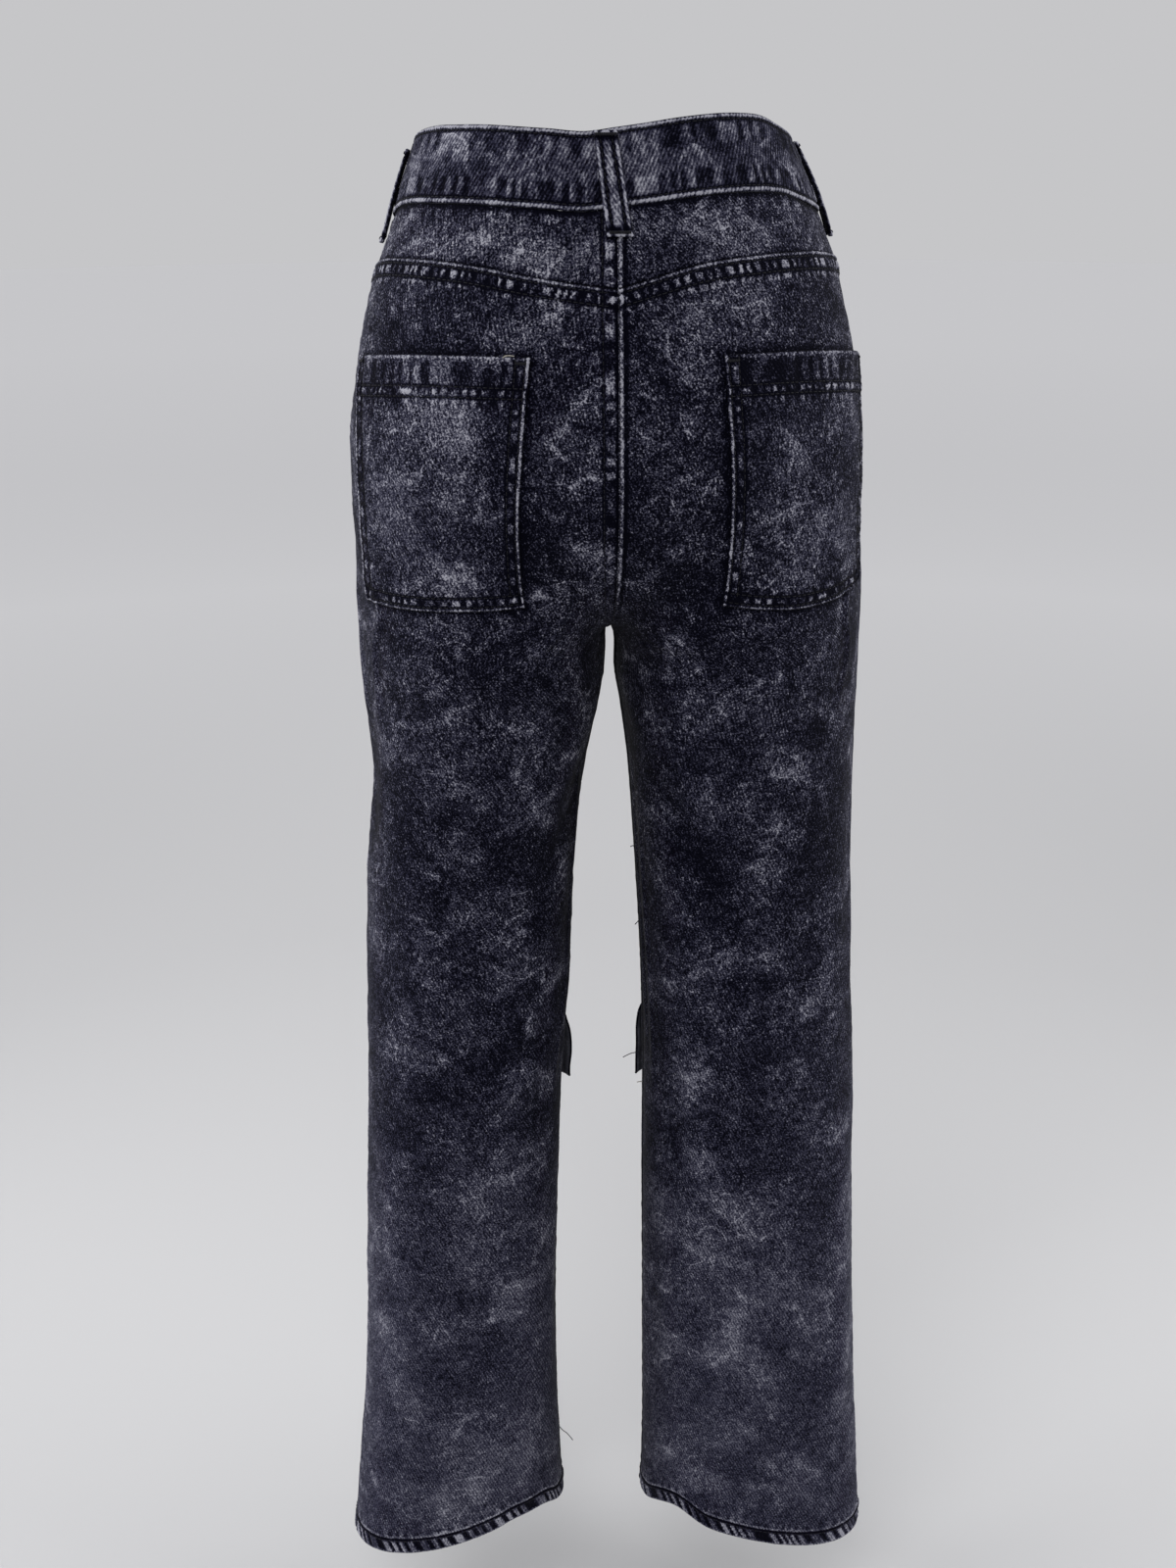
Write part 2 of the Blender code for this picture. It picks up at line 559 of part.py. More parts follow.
def build():
    for leftover in list(bpy.data.objects):
        bpy.data.objects.remove(leftover)
    denim = material("acid_washed_denim", (0.055, 0.055, 0.070), 0.88)
    metal = material("dark_button_metal", (0.16, 0.155, 0.15), 0.35, 1.0)
    waistband(denim)
    for word, side in SIDES.items():
        yoke("back_yoke_" + word, side, denim)
        leg_panel("back_panel_" + word, word, True, denim)
        leg_panel("front_panel_" + word, word, False, denim)
        back_pocket("back_pocket_" + word, word, denim)
        cargo_pocket("cargo_pocket_" + word, side, denim)
        cargo_flap("cargo_flap_" + word, word, denim)
    for place in BELT_LOOPS:
        belt_loop(place, denim)
    fly_placket(denim)
    waist_button(metal)


build()
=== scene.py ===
import math

import bmesh
import bpy
import numpy as np
from mathutils import Matrix, Vector


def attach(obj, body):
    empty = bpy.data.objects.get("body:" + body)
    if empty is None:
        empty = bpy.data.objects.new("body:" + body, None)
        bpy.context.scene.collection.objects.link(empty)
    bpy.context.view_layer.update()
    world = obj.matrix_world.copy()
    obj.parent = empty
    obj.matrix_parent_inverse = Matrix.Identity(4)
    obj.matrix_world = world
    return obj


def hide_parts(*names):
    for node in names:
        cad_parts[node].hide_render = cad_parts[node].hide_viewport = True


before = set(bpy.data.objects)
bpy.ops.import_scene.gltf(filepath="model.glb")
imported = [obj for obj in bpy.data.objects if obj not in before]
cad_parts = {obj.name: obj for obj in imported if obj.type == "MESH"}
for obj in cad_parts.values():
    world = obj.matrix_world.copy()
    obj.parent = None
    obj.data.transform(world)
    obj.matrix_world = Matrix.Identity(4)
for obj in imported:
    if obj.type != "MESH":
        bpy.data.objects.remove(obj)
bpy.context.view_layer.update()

left = 1      # the wearer's left is +X
right = -1
sides = {"left": left, "right": right}

# the body of the jeans: heights and half sizes of the seat, and of each leg below it, in metres
seatColumns = ("z", "halfLeft", "halfRight", "front", "back")
seatLevels = [
    (0.020, 0.1030, 0.0990, 0.080, 0.0850),
    (-0.008, 0.1141, 0.1098, 0.086, 0.0885),
    (-0.042, 0.1262, 0.1253, 0.094, 0.0945),
    (-0.058, 0.1313, 0.1318, 0.0964, 0.0978),
    (-0.076, 0.1382, 0.1390, 0.099, 0.1015),
    (-0.092, 0.1441, 0.1431, 0.1001, 0.1042),
    (-0.120, 0.1508, 0.1505, 0.102, 0.1090),
    (-0.173, 0.1602, 0.1580, 0.101, 0.1140),
    (-0.220, 0.1618, 0.1604, 0.100, 0.1145),
    (-0.280, 0.1600, 0.1622, 0.097, 0.1105),
    (-0.350, 0.1606, 0.1632, 0.091, 0.1020),
    (-0.440, 0.1636, 0.1650, 0.080, 0.0860),
]
# inner and outer are distances from the centre plane, turn is in degrees, outer side to the back
legColumns = ("z", "innerLeft", "outerLeft", "innerRight", "outerRight", "front", "back", "centre", "turn")
legLevels = [
    (-0.190, 0.0004, 0.1610, 0.0004, 0.1600, 0.0980, 0.1140, 0.000, 0.0),
    (-0.250, 0.0004, 0.1612, 0.0004, 0.1620, 0.0940, 0.1080, -0.002, 0.0),
    (-0.292, 0.0004, 0.1604, 0.0004, 0.1639, 0.0910, 0.1035, -0.005, 0.0),
    (-0.302, 0.0004, 0.1603, 0.0004, 0.1641, 0.0900, 0.1020, -0.006, 0.0),
    (-0.310, 0.0014, 0.1602, 0.0042, 0.1642, 0.0885, 0.1005, -0.006, 0.0),
    (-0.336, 0.0026, 0.1598, 0.0056, 0.1644, 0.0855, 0.0950, -0.006, 0.7),
    (-0.360, 0.0070, 0.1592, 0.0096, 0.1646, 0.0830, 0.0915, -0.006, 1.2),
    (-0.395, 0.0150, 0.1588, 0.0142, 0.1652, 0.0800, 0.0860, -0.005, 2.0),
    (-0.450, 0.0220, 0.1628, 0.0184, 0.1668, 0.0740, 0.0780, -0.004, 3.0),
    (-0.560, 0.0280, 0.1679, 0.0246, 0.1717, 0.0690, 0.0700, -0.002, 4.0),
    (-0.630, 0.0338, 0.1718, 0.0262, 0.1752, 0.0665, 0.0670, -0.001, 5.5),
    (-0.700, 0.0366, 0.1748, 0.0262, 0.1783, 0.0640, 0.0640, 0.000, 7.0),
    (-0.870, 0.0406, 0.1827, 0.0280, 0.1875, 0.0580, 0.0580, 0.001, 11.0),
    (-0.960, 0.0390, 0.1917, 0.0285, 0.1924, 0.0550, 0.0550, 0.001, 13.0),
    (-1.060, 0.0340, 0.2025, 0.0266, 0.1990, 0.0520, 0.0520, 0.001, 14.0),
]
# around runs from the centre front (0) over the side seam (0.5) to the centre back (1)
edgeColumns = ("around", "left", "right")
waistEdge = [
    (0.00, -0.0100, -0.0100),
    (0.30, -0.0095, -0.0095),
    (0.50, -0.0070, -0.0075),
    (0.57, -0.0010, -0.0040),
    (0.64, 0.0020, 0.0010),
    (0.70, 0.0025, 0.0065),
    (0.76, 0.0025, 0.0080),
    (0.88, 0.0005, 0.0060),
    (0.95, -0.0010, 0.0030),
    (1.00, 0.0010, 0.0010),
]
yokeSeam = [
    (0.50, -0.0780, -0.0770),
    (0.58, -0.0720, -0.0715),
    (0.66, -0.0700, -0.0680),
    (0.78, -0.0720, -0.0680),
    (0.88, -0.0780, -0.0720),
    (0.95, -0.0820, -0.0790),
    (1.00, -0.0845, -0.0845),
]
bodyForm = {
    "ovalPower": 2.25,      # 2 is an ellipse, more is squarer
    "riseStart": -0.190,    # the seat parts into two legs from here down to the crotch
    "crotch": -0.301,
    "risePower": 2.3,
    "mergeStart": -0.150,   # away from the centre seam it turns into a leg over this stretch
    "mergeEnd": -0.430,
    "normalStep": {"share": 0.012, "z": 0.0015},    # how far apart the form is felt for its normal
}


def smoothStep(value):
    value = np.clip(value, 0, 1)
    return value * value * (3 - 2 * value)


def readTable(rows, columns, wanted, place):
    # smooth curve through one column of a table, read along its first column
    table = np.array(rows)
    table = table[np.argsort(table[:, 0])]
    keys = table[:, 0]
    values = table[:, columns.index(wanted)]
    slopes = np.gradient(values, keys)
    index = np.clip(np.searchsorted(keys, place) - 1, 0, len(keys) - 2)
    step = keys[index + 1] - keys[index]
    t = (place - keys[index]) / step
    start = values[index] * (1 + 2 * t) * (1 - t) ** 2 + slopes[index] * step * t * (1 - t) ** 2
    end = values[index + 1] * t * t * (3 - 2 * t) + slopes[index + 1] * step * t * t * (t - 1)
    return start + end


def readSides(rows, columns, word, side, place):
    leftName = word + "Left" if word else "left"
    rightName = word + "Right" if word else "right"
    onLeft = readTable(rows, columns, leftName, place)
    return np.where(side > 0, onLeft, readTable(rows, columns, rightName, place))


def oval(angle):
    power = 2 / bodyForm["ovalPower"]
    cosine = np.cos(angle)
    return np.sign(cosine) * np.abs(cosine) ** power, np.abs(np.sin(angle)) ** power


def evenAngle(width, depth, sweep, share):
    # angle at which a share of the oval's length, from the side seam, is covered
    samples = 64
    angles = np.linspace(0, sweep, samples + 1)
    across, along = oval(angles)
    steps = np.hypot(np.diff(width[:, None] * across), np.diff(depth[:, None] * along))
    covered = np.concatenate([np.zeros((len(width), 1)), np.cumsum(steps, axis=1)], axis=1)
    wanted = share * covered[:, -1]
    index = np.clip((covered <= wanted[:, None]).sum(axis=1) - 1, 0, samples - 1)
    lines = np.arange(len(width))
    part = (wanted - covered[lines, index]) / (covered[lines, index + 1] - covered[lines, index])
    return angles[index] + part * angles[1]


def readHalf(rows, columns, back, place):
    return np.where(back, readTable(rows, columns, "back", place), readTable(rows, columns, "front", place))


def form(side, back, share, z):
    # share runs from the side seam (0) to the centre seam or inseam (1)
    sign = np.where(back, 1.0, -1.0)
    halfWidth = readSides(seatLevels, seatColumns, "half", side, z)
    depth = readHalf(seatLevels, seatColumns, back, z)
    across, along = oval(evenAngle(halfWidth, depth, math.pi / 2, share))
    seatX = halfWidth * across
    seatY = sign * depth * along

    inner = readSides(legLevels, legColumns, "inner", side, z)
    outer = readSides(legLevels, legColumns, "outer", side, z)
    depth = readHalf(legLevels, legColumns, back, z)
    centre = readTable(legLevels, legColumns, "centre", z)
    turn = np.radians(readTable(legLevels, legColumns, "turn", z))
    reach = (outer - inner) / 2
    width = np.sqrt(reach ** 2 - (depth * np.sin(turn)) ** 2) / np.cos(turn)
    across, along = oval(evenAngle(width, depth, math.pi, share))
    legX = (inner + outer) / 2 + width * across * np.cos(turn) - sign * depth * along * np.sin(turn)
    legY = centre + width * across * np.sin(turn) + sign * depth * along * np.cos(turn)

    shape = bodyForm
    fall = np.clip((shape["riseStart"] - z) / (shape["riseStart"] - shape["crotch"]), 0, 1)
    atSeam = 1 - (1 - fall ** shape["risePower"]) ** (1 / shape["risePower"])
    away = smoothStep((shape["mergeStart"] - z) / (shape["mergeStart"] - shape["mergeEnd"]))
    parted = away + (atSeam - away) * smoothStep((share - 0.5) / 0.5)
    x = side * ((1 - parted) * seatX + parted * legX)
    y = (1 - parted) * seatY + parted * legY
    return np.stack([x, y, z], axis=-1)


def skin(side, back, share, z, height):
    # points of the form, moved out along its normal by a height, and those normals
    side, back, share, z, height = np.broadcast_arrays(side, back, share, z, height)
    grid = share.shape
    side, back, share, z, height = [part.ravel() for part in (side, back, share, z, height)]
    step = bodyForm["normalStep"]
    ahead = form(side, back, np.clip(share + step["share"], 0, 1), z)
    behind = form(side, back, np.clip(share - step["share"], 0, 1), z)
    above = form(side, back, share, z + step["z"])
    below = form(side, back, share, z - step["z"])
    normal = np.cross(ahead - behind, above - below)
    normal *= np.where(back, 1.0, -1.0)[:, None] * side[:, None]
    normal /= np.linalg.norm(normal, axis=1)[:, None]
    points = form(side, back, share, z) + height[:, None] * normal
    return points.reshape(grid + (3,)), normal.reshape(grid + (3,))


halfLengthZ = np.linspace(-1.07, 0.02, 110)


def measureHalfLengths():
    # length of cloth from the side seam to the centre seam or inseam, at heights all the way down
    shares = np.linspace(0, 1, 49)
    found = {}
    for side in (left, right):
        for back in (False, True):
            z, share = np.meshgrid(halfLengthZ, shares, indexing="ij")
            points = form(side, back, share.ravel(), z.ravel()).reshape(z.shape + (3,))
            found[side, back] = np.linalg.norm(np.diff(points, axis=1), axis=2).sum(axis=1)
    return found


halfLengths = measureHalfLengths()


def halfLength(side, back, z):
    side, back, z = np.broadcast_arrays(side, back, z)
    result = np.zeros(z.shape)
    for key, lengths in halfLengths.items():
        here = (side == key[0]) & (back == key[1])
        result = np.where(here, np.interp(z, halfLengthZ, lengths), result)
    return result


def waistHeight(side, around):
    return readSides(waistEdge, edgeColumns, "", side, around)


def yokeHeight(side, around):
    return readSides(yokeSeam, edgeColumns, "", side, around)


def aroundFrom(back, share):
    return np.where(back, 0.5 + share / 2, 0.5 - share / 2)


print("form ready")


# relief on the cloth: creases, seams, puffs between stitches
def bell(value, width):
    return np.exp(-(value / width) ** 2)


def within(distance, edge):
    # 1 up to an edge, then softly down to 0: the edge is where it ends and how softly
    return smoothStep((edge[0] - distance) / edge[1])


def addLines(total, distance, lines):
    # ridges (+) and grooves (-) along an edge: amount, distance from the edge, half width
    for amount, place, width in lines:
        total = total + amount * bell(distance - place, width)
    return total


def ripple(a, b, size, seed):
    # smooth random unevenness, about -1 to 1, with features of this size
    rng = np.random.default_rng(seed)
    total = np.zeros(np.broadcast(a, b).shape)
    for _ in range(9):
        heading = rng.uniform(0, 2 * math.pi)
        wave = size * rng.uniform(0.7, 1.8)
        place = a * math.cos(heading) + b * math.sin(heading)
        total = total + np.sin(place * 2 * math.pi / wave + rng.uniform(0, 2 * math.pi))
    return total / 3


def slowWave(rng, along, pitch, shortest, longest):
    # a sine of random length, in pitches, and random phase
    length = pitch * rng.uniform(shortest, longest)
    return np.sin(2 * math.pi * along / length + rng.uniform(0, 6.3))


def puckers(along, pitch, seed, uneven=0.15, gap=0.25):
    # 0 in the gaps and 1 on the puffs of a seam, unevenly spaced; a wider gap leaves narrower puffs
    rng = np.random.default_rng(seed)
    phase = along / pitch
    for _ in range(4):
        phase = phase + uneven * slowWave(rng, along, pitch, 2.5, 9)
    strength = 0.75 + 0.25 * slowWave(rng, along, pitch, 3, 6)
    return smoothStep((0.5 + 0.5 * np.cos(2 * math.pi * phase) - gap) / 0.45) * strength


# half widths of the narrow shapes that every seam has, and the level its puffs rise from
seamWidths = {
    "puffLevel": 0.35,
    "roll": 0.0007,
    # edgeDark and grooveDark give the half widths of painted shade: at the rolled edge, and in the groove of
    # each stitch row
    "edgeDark": 0.0004,
    "groove": 0.0008,
    "grooveDark": 0.0009,
    "puffStart": 0.0012,
    "puffEnd": 0.0016,
}


def seamLook(fromEdge, along, look):
    # how far a stitched edge stands up, and how pale (+) or dark (-) it is: pale where worn on ridges and
    # puffs, dark where unwashed between the puffs, and painted shade at the rolled edge and in the stitch
    # grooves
    height = -look["roll"] * bell(fromEdge, seamWidths["roll"])
    ridge = bell(fromEdge - look["edgeAt"], look["edgeWidth"])
    rope = puckers(along + look["ropeSlant"] * fromEdge, look["ropePitch"], look["seed"] + 50)
    height = height + look["edgeRise"] * ridge * (0.6 + 0.4 * rope)
    wearAndShade = look["edgeWear"] * ridge * (look["even"] + (1 - look["even"]) * rope)
    # painted shade: the rolled edge itself is painted dark, where the cloth turns under
    wearAndShade = wearAndShade - look["edgeDark"] * bell(fromEdge, seamWidths["edgeDark"])
    # the groove of each stitch row is painted dark: painted shade in the groove, together with the black of
    # the thread it holds
    for row in look["rows"]:
        height = height - look["groove"] * bell(fromEdge - row, seamWidths["groove"])
        wearAndShade = wearAndShade - look["grooveDark"] * bell(fromEdge - row, seamWidths["grooveDark"])
    start, end = look["puffs"]
    window = smoothStep((fromEdge - start) / seamWidths["puffStart"])
    window = window * smoothStep((end - fromEdge) / seamWidths["puffEnd"])
    puff = puckers(along + look["slant"] * fromEdge, look["pitch"], look["seed"], look["uneven"], look["gap"])
    height = height + look["puffRise"] * window * (puff - seamWidths["puffLevel"])
    wearAndShade = wearAndShade + look["puffWear"] * window * (puff - look["between"])
    return height, wearAndShade


def sewn(height, wearAndShade, fromEdge, along, look, amount=1.0):
    # a surface with a stitched edge added to it
    rise, toneShift = seamLook(fromEdge, along, look)
    return height + amount * rise, wearAndShade + amount * toneShift


def seamStyle(**changes):
    style = {
        "rows": (0.0026,), "roll": 0.0004, "edgeAt": 0.0012, "edgeWidth": 0.0009, "edgeRise": 0.0004,
        "edgeWear": 1.5, "edgeDark": 1.0, "ropePitch": 0.0036, "ropeSlant": 1.0, "even": 0.45,
        "groove": 0.0005, "grooveDark": 1.7, "puffs": (0.0034, 0.0084), "slant": 0.0, "pitch": 0.0078,
        "puffRise": 0.0009, "puffWear": 1.9, "uneven": 0.15, "gap": 0.25, "between": 0.45, "seed": 1,
    }
    style.update(changes)
    return style


# changes for the puffs beside a seam, where there is no edge and no stitching
noEdge = {"rows": (), "roll": 0, "edgeRise": 0, "edgeWear": 0, "edgeDark": 0}

# creases: where each starts and ends (share of the width from the side seam, height),
# how far it bows sideways, its half width, and how high (+) or deep (-) it is
creaseColumns = ("share", "z", "endShare", "endZ", "bow", "width", "height")
creases = {
    # back of the left leg, then its fine pressed lines, its yoke and its seat
    (left, True): [
        (0.07, -0.262, 0.09, -0.372, 0.003, 0.006, 0.0013),
        (0.13, -0.355, 0.08, -0.452, -0.004, 0.015, -0.0020),
        (0.90, -0.322, 0.56, -0.430, 0.010, 0.013, 0.0015),
        (0.84, -0.352, 0.60, -0.505, 0.008, 0.012, -0.0016),
        (0.42, -0.290, 0.50, -0.385, 0.005, 0.012, 0.0010),
        (0.28, -0.430, 0.36, -0.590, -0.004, 0.014, 0.0013),
        (0.68, -0.500, 0.75, -0.690, 0.005, 0.013, -0.0012),
        (0.22, -0.560, 0.52, -0.592, 0.006, 0.009, -0.0010),
        (0.48, -0.628, 0.80, -0.600, -0.005, 0.010, 0.0011),
        (0.16, -0.660, 0.24, -0.860, 0.006, 0.012, 0.0013),
        (0.86, -0.720, 0.82, -0.900, -0.004, 0.009, 0.0012),
        (0.52, -0.760, 0.46, -0.905, 0.005, 0.015, -0.0012),
        (0.30, -0.905, 0.60, -0.940, 0.007, 0.010, 0.0012),
        (0.66, -0.930, 0.70, -0.990, 0.003, 0.012, 0.0014),
        (0.257, -0.255, 0.200, -0.350, 0.001, 0.0035, 0.0012),
        (0.780, -0.275, 0.690, -0.372, 0.002, 0.0045, 0.0015),
        (0.850, -0.400, 0.820, -0.630, 0.002, 0.0034, 0.0013),
        (0.885, -0.420, 0.865, -0.620, 0.001, 0.0034, -0.0012),
        (0.945, -0.050, 0.860, -0.074, 0.002, 0.0030, 0.0011),
        (0.900, -0.047, 0.800, -0.064, 0.002, 0.0035, 0.0009),
        (0.520, -0.054, 0.660, -0.046, 0.002, 0.0035, 0.0009),
        (0.70, -0.235, 0.93, -0.300, -0.006, 0.013, -0.0010),
        (0.55, -0.100, 0.80, -0.160, 0.005, 0.016, 0.0008),
    ],
    # back of the right leg, in the same order
    (right, True): [
        (0.06, -0.240, 0.08, -0.350, 0.003, 0.006, 0.0012),
        (0.07, -0.370, 0.10, -0.560, -0.003, 0.007, 0.0012),
        (0.88, -0.330, 0.60, -0.415, 0.008, 0.012, 0.0013),
        (0.78, -0.370, 0.52, -0.540, -0.009, 0.014, -0.0016),
        (0.50, -0.300, 0.44, -0.420, 0.006, 0.011, 0.0010),
        (0.33, -0.470, 0.26, -0.640, 0.005, 0.013, -0.0013),
        (0.72, -0.560, 0.66, -0.735, -0.005, 0.012, 0.0013),
        (0.25, -0.610, 0.58, -0.575, 0.006, 0.009, 0.0010),
        (0.60, -0.650, 0.88, -0.690, 0.004, 0.010, -0.0011),
        (0.16, -0.690, 0.14, -0.900, -0.005, 0.010, 0.0014),
        (0.50, -0.800, 0.58, -0.930, 0.006, 0.014, 0.0012),
        (0.82, -0.760, 0.84, -0.930, 0.004, 0.010, -0.0012),
        (0.34, -0.930, 0.26, -0.995, 0.003, 0.012, 0.0012),
        (0.250, -0.262, 0.275, -0.352, -0.001, 0.0035, 0.0012),
        (0.870, -0.430, 0.850, -0.630, -0.002, 0.0034, 0.0012),
        (0.905, -0.400, 0.895, -0.600, 0.001, 0.0034, -0.0012),
        (0.940, -0.050, 0.870, -0.068, 0.001, 0.0030, 0.0010),
        (0.800, -0.052, 0.680, -0.060, 0.003, 0.0040, 0.0009),
        (0.72, -0.245, 0.92, -0.298, -0.006, 0.012, -0.0010),
        (0.60, -0.095, 0.84, -0.165, 0.006, 0.015, 0.0008),
    ],
    # front of the left leg: whiskers, the knee, the breaks above the hem
    (left, False): [
        (0.96, -0.262, 0.34, -0.205, 0.012, 0.010, 0.0018),
        (0.94, -0.300, 0.26, -0.262, 0.012, 0.012, 0.0020),
        (0.88, -0.340, 0.30, -0.330, 0.010, 0.011, 0.0014),
        (0.22, -0.420, 0.30, -0.575, 0.005, 0.014, 0.0015),
        (0.72, -0.400, 0.80, -0.580, -0.006, 0.012, -0.0014),
        (0.12, -0.730, 0.16, -0.900, 0.004, 0.010, 0.0013),
        (0.30, -0.835, 0.72, -0.850, 0.008, 0.012, -0.0014),
        (0.62, -0.880, 0.54, -0.985, 0.005, 0.014, 0.0015),
    ],
    # front of the right leg
    (right, False): [
        (0.95, -0.255, 0.38, -0.214, 0.011, 0.011, 0.0017),
        (0.95, -0.295, 0.30, -0.272, 0.014, 0.011, 0.0020),
        (0.86, -0.350, 0.34, -0.322, 0.008, 0.012, 0.0013),
        (0.28, -0.410, 0.22, -0.570, 0.005, 0.013, 0.0014),
        (0.78, -0.430, 0.70, -0.585, 0.006, 0.013, -0.0013),
        (0.88, -0.700, 0.84, -0.890, -0.005, 0.010, 0.0013),
        (0.26, -0.860, 0.66, -0.838, 0.007, 0.011, -0.0013),
        (0.40, -0.890, 0.46, -0.995, 0.005, 0.014, 0.0015),
    ],
}

# soft dents (-) and swells (+) of the outline along the side seams
dentColumns = ("z", "halfHeight", "height")
outlineDents = {
    left: [
        (-0.410, 0.045, -0.0022),
        (-0.520, 0.060, 0.0010),
        (-0.300, 0.050, 0.0010),
        (-0.640, 0.050, -0.0010),
        (-0.800, 0.070, 0.0010),
    ],
    right: [
        (-0.470, 0.060, -0.0012),
        (-0.330, 0.050, 0.0008),
        (-0.660, 0.060, 0.0010),
        (-0.850, 0.060, -0.0010),
    ],
}

# how creases run out, and what the cloth does between them
drapeLook = {
    "fade": (0.15, 0.4),       # past the ends and over what share of the length
    "widening": (0.85, 0.3),
    "trough": {"depth": 0.35, "away": 1.9, "width": 1.3},
    "calm": 0.016,             # the cloth lies flat this near to a seam
    "calmCentre": 0.02,
    "waves": {"height": 0.00030, "size": 0.055, "seed": 11},
    "crinkle": {"height": 0.00012, "size": 0.016, "seed": 21},
    "dentReach": 0.035,
}


def drape(side, back, share, z):
    # height of the creases and of the cloth's own unevenness; shared by a panel and what is sewn on it
    look = drapeLook
    past, over = look["fade"]
    trough = look["trough"]
    length = halfLength(side, back, z)
    fromSide = share * length
    total = np.zeros(np.broadcast(share, z).shape)
    for row in creases[side, back]:
        crease = dict(zip(creaseColumns, row))
        startX = crease["share"] * float(halfLength(side, back, crease["z"]))
        endX = crease["endShare"] * float(halfLength(side, back, crease["endZ"]))
        runX = endX - startX
        runZ = crease["endZ"] - crease["z"]
        run = math.hypot(runX, runZ)
        t = ((fromSide - startX) * runX + (z - crease["z"]) * runZ) / run ** 2
        off = ((z - crease["z"]) * runX - (fromSide - startX) * runZ) / run
        off = off - crease["bow"] * np.sin(math.pi * np.clip(t, 0, 1))
        fade = smoothStep((t + past) / over) * smoothStep((1 + past - t) / over)
        width = crease["width"] * (look["widening"][0] + look["widening"][1] * np.clip(t, 0, 1))
        beside = trough["depth"] * bell(off - trough["away"] * width, trough["width"] * width)
        total = total + crease["height"] * fade * (bell(off, width) - beside)
    inward = smoothStep(fromSide / look["calm"]) * smoothStep((length - fromSide) / look["calm"])
    total = total * inward
    way = fromSide if back else -fromSide
    parts = (("waves", smoothStep((length - fromSide) / look["calmCentre"])), ("crinkle", inward))
    for part, strength in parts:
        wave = look[part]
        total = total + wave["height"] * ripple(way, z, wave["size"], wave["seed"] + side) * strength
    for row in outlineDents[side]:
        dent = dict(zip(dentColumns, row))
        reach = bell(fromSide, look["dentReach"])
        total = total + dent["height"] * bell(z - dent["z"], dent["halfHeight"]) * reach
    return total


# washed-out (+) and dark (-) patches of each panel: middle (share of the width, height), half sizes in
# metres, amount
patchColumns = ("share", "z", "across", "down", "amount")
patches = {
    (left, True): [
        (0.05, -0.305, 0.012, 0.035, 0.80),
        (0.45, -0.055, 0.050, 0.014, 0.35),
        (0.80, -0.245, 0.040, 0.050, -0.55),
        (0.86, -0.130, 0.022, 0.035, -0.20),
        (0.52, -0.150, 0.030, 0.030, 0.25),
        (0.40, -0.225, 0.030, 0.028, 0.35),
        (0.55, -0.385, 0.050, 0.045, 0.30),
        (0.20, -0.330, 0.014, 0.060, 0.35),
        (0.85, -0.460, 0.025, 0.060, -0.30),
        (0.40, -0.520, 0.040, 0.050, 0.15),
        (0.65, -0.640, 0.035, 0.050, -0.15),
        (0.50, -0.760, 0.045, 0.050, 0.30),
        (0.25, -0.850, 0.030, 0.050, 0.15),
        (0.55, -0.955, 0.055, 0.040, 0.25),
    ],
    (right, True): [
        (0.50, -0.050, 0.055, 0.014, 0.30),
        (0.80, -0.250, 0.040, 0.050, -0.55),
        (0.82, -0.140, 0.025, 0.040, -0.25),
        (0.36, -0.235, 0.030, 0.030, 0.30),
        (0.45, -0.165, 0.028, 0.025, 0.20),
        (0.55, -0.370, 0.050, 0.050, 0.25),
        (0.12, -0.420, 0.012, 0.080, 0.40),
        (0.85, -0.440, 0.025, 0.050, -0.25),
        (0.45, -0.545, 0.045, 0.050, 0.10),
        (0.60, -0.680, 0.040, 0.050, -0.10),
        (0.45, -0.800, 0.050, 0.060, 0.30),
        (0.60, -0.930, 0.050, 0.035, 0.15),
    ],
    (left, False): [
        (0.50, -0.420, 0.050, 0.110, 0.45),
        (0.50, -0.150, 0.060, 0.040, 0.15),
        (0.50, -0.860, 0.040, 0.070, 0.20),
    ],
    (right, False): [
        (0.50, -0.430, 0.050, 0.110, 0.45),
        (0.48, -0.150, 0.060, 0.040, 0.15),
        (0.52, -0.870, 0.040, 0.070, 0.20),
    ],
}

# the whole of the cloth is washed paler at the top and towards the hems than on the thighs
washColumns = ("z", "amount")
washLevels = [
    (0.02, 0.40),
    (-0.06, 0.40),
    (-0.11, 0.10),
    (-0.20, -0.08),
    (-0.40, -0.20),
    (-0.60, 0.02),
    (-0.75, 0.46),
    (-0.90, 0.66),
    (-1.04, 0.60),
]
washLook = {
    "sideSeam": (0.30, 0.022),    # paler along the side seam: how much and how far
    "folds": 190,                 # a fold one millimetre high is washed this many thousandths paler
}


def washOut(side, back, share, z):
    length = halfLength(side, back, z)
    amount, reach = washLook["sideSeam"]
    total = readTable(washLevels, washColumns, "amount", z) + amount * bell(share * length, reach)
    for row in patches[side, back]:
        patch = dict(zip(patchColumns, row))
        across = (share - patch["share"]) * length / patch["across"]
        total = total + patch["amount"] * np.exp(-across ** 2 - ((z - patch["z"]) / patch["down"]) ** 2)
    return total


# cloth pieces are grids of cells, moved onto the form and then thickened
pieces = {}
threadRows = {"topstitchSeat": [], "topstitchLegs": [], "topstitchFront": []}
barTacks = []


def addObject(name, data):
    made = bpy.data.objects.new(name, data)
    bpy.context.scene.collection.objects.link(made)
    return made


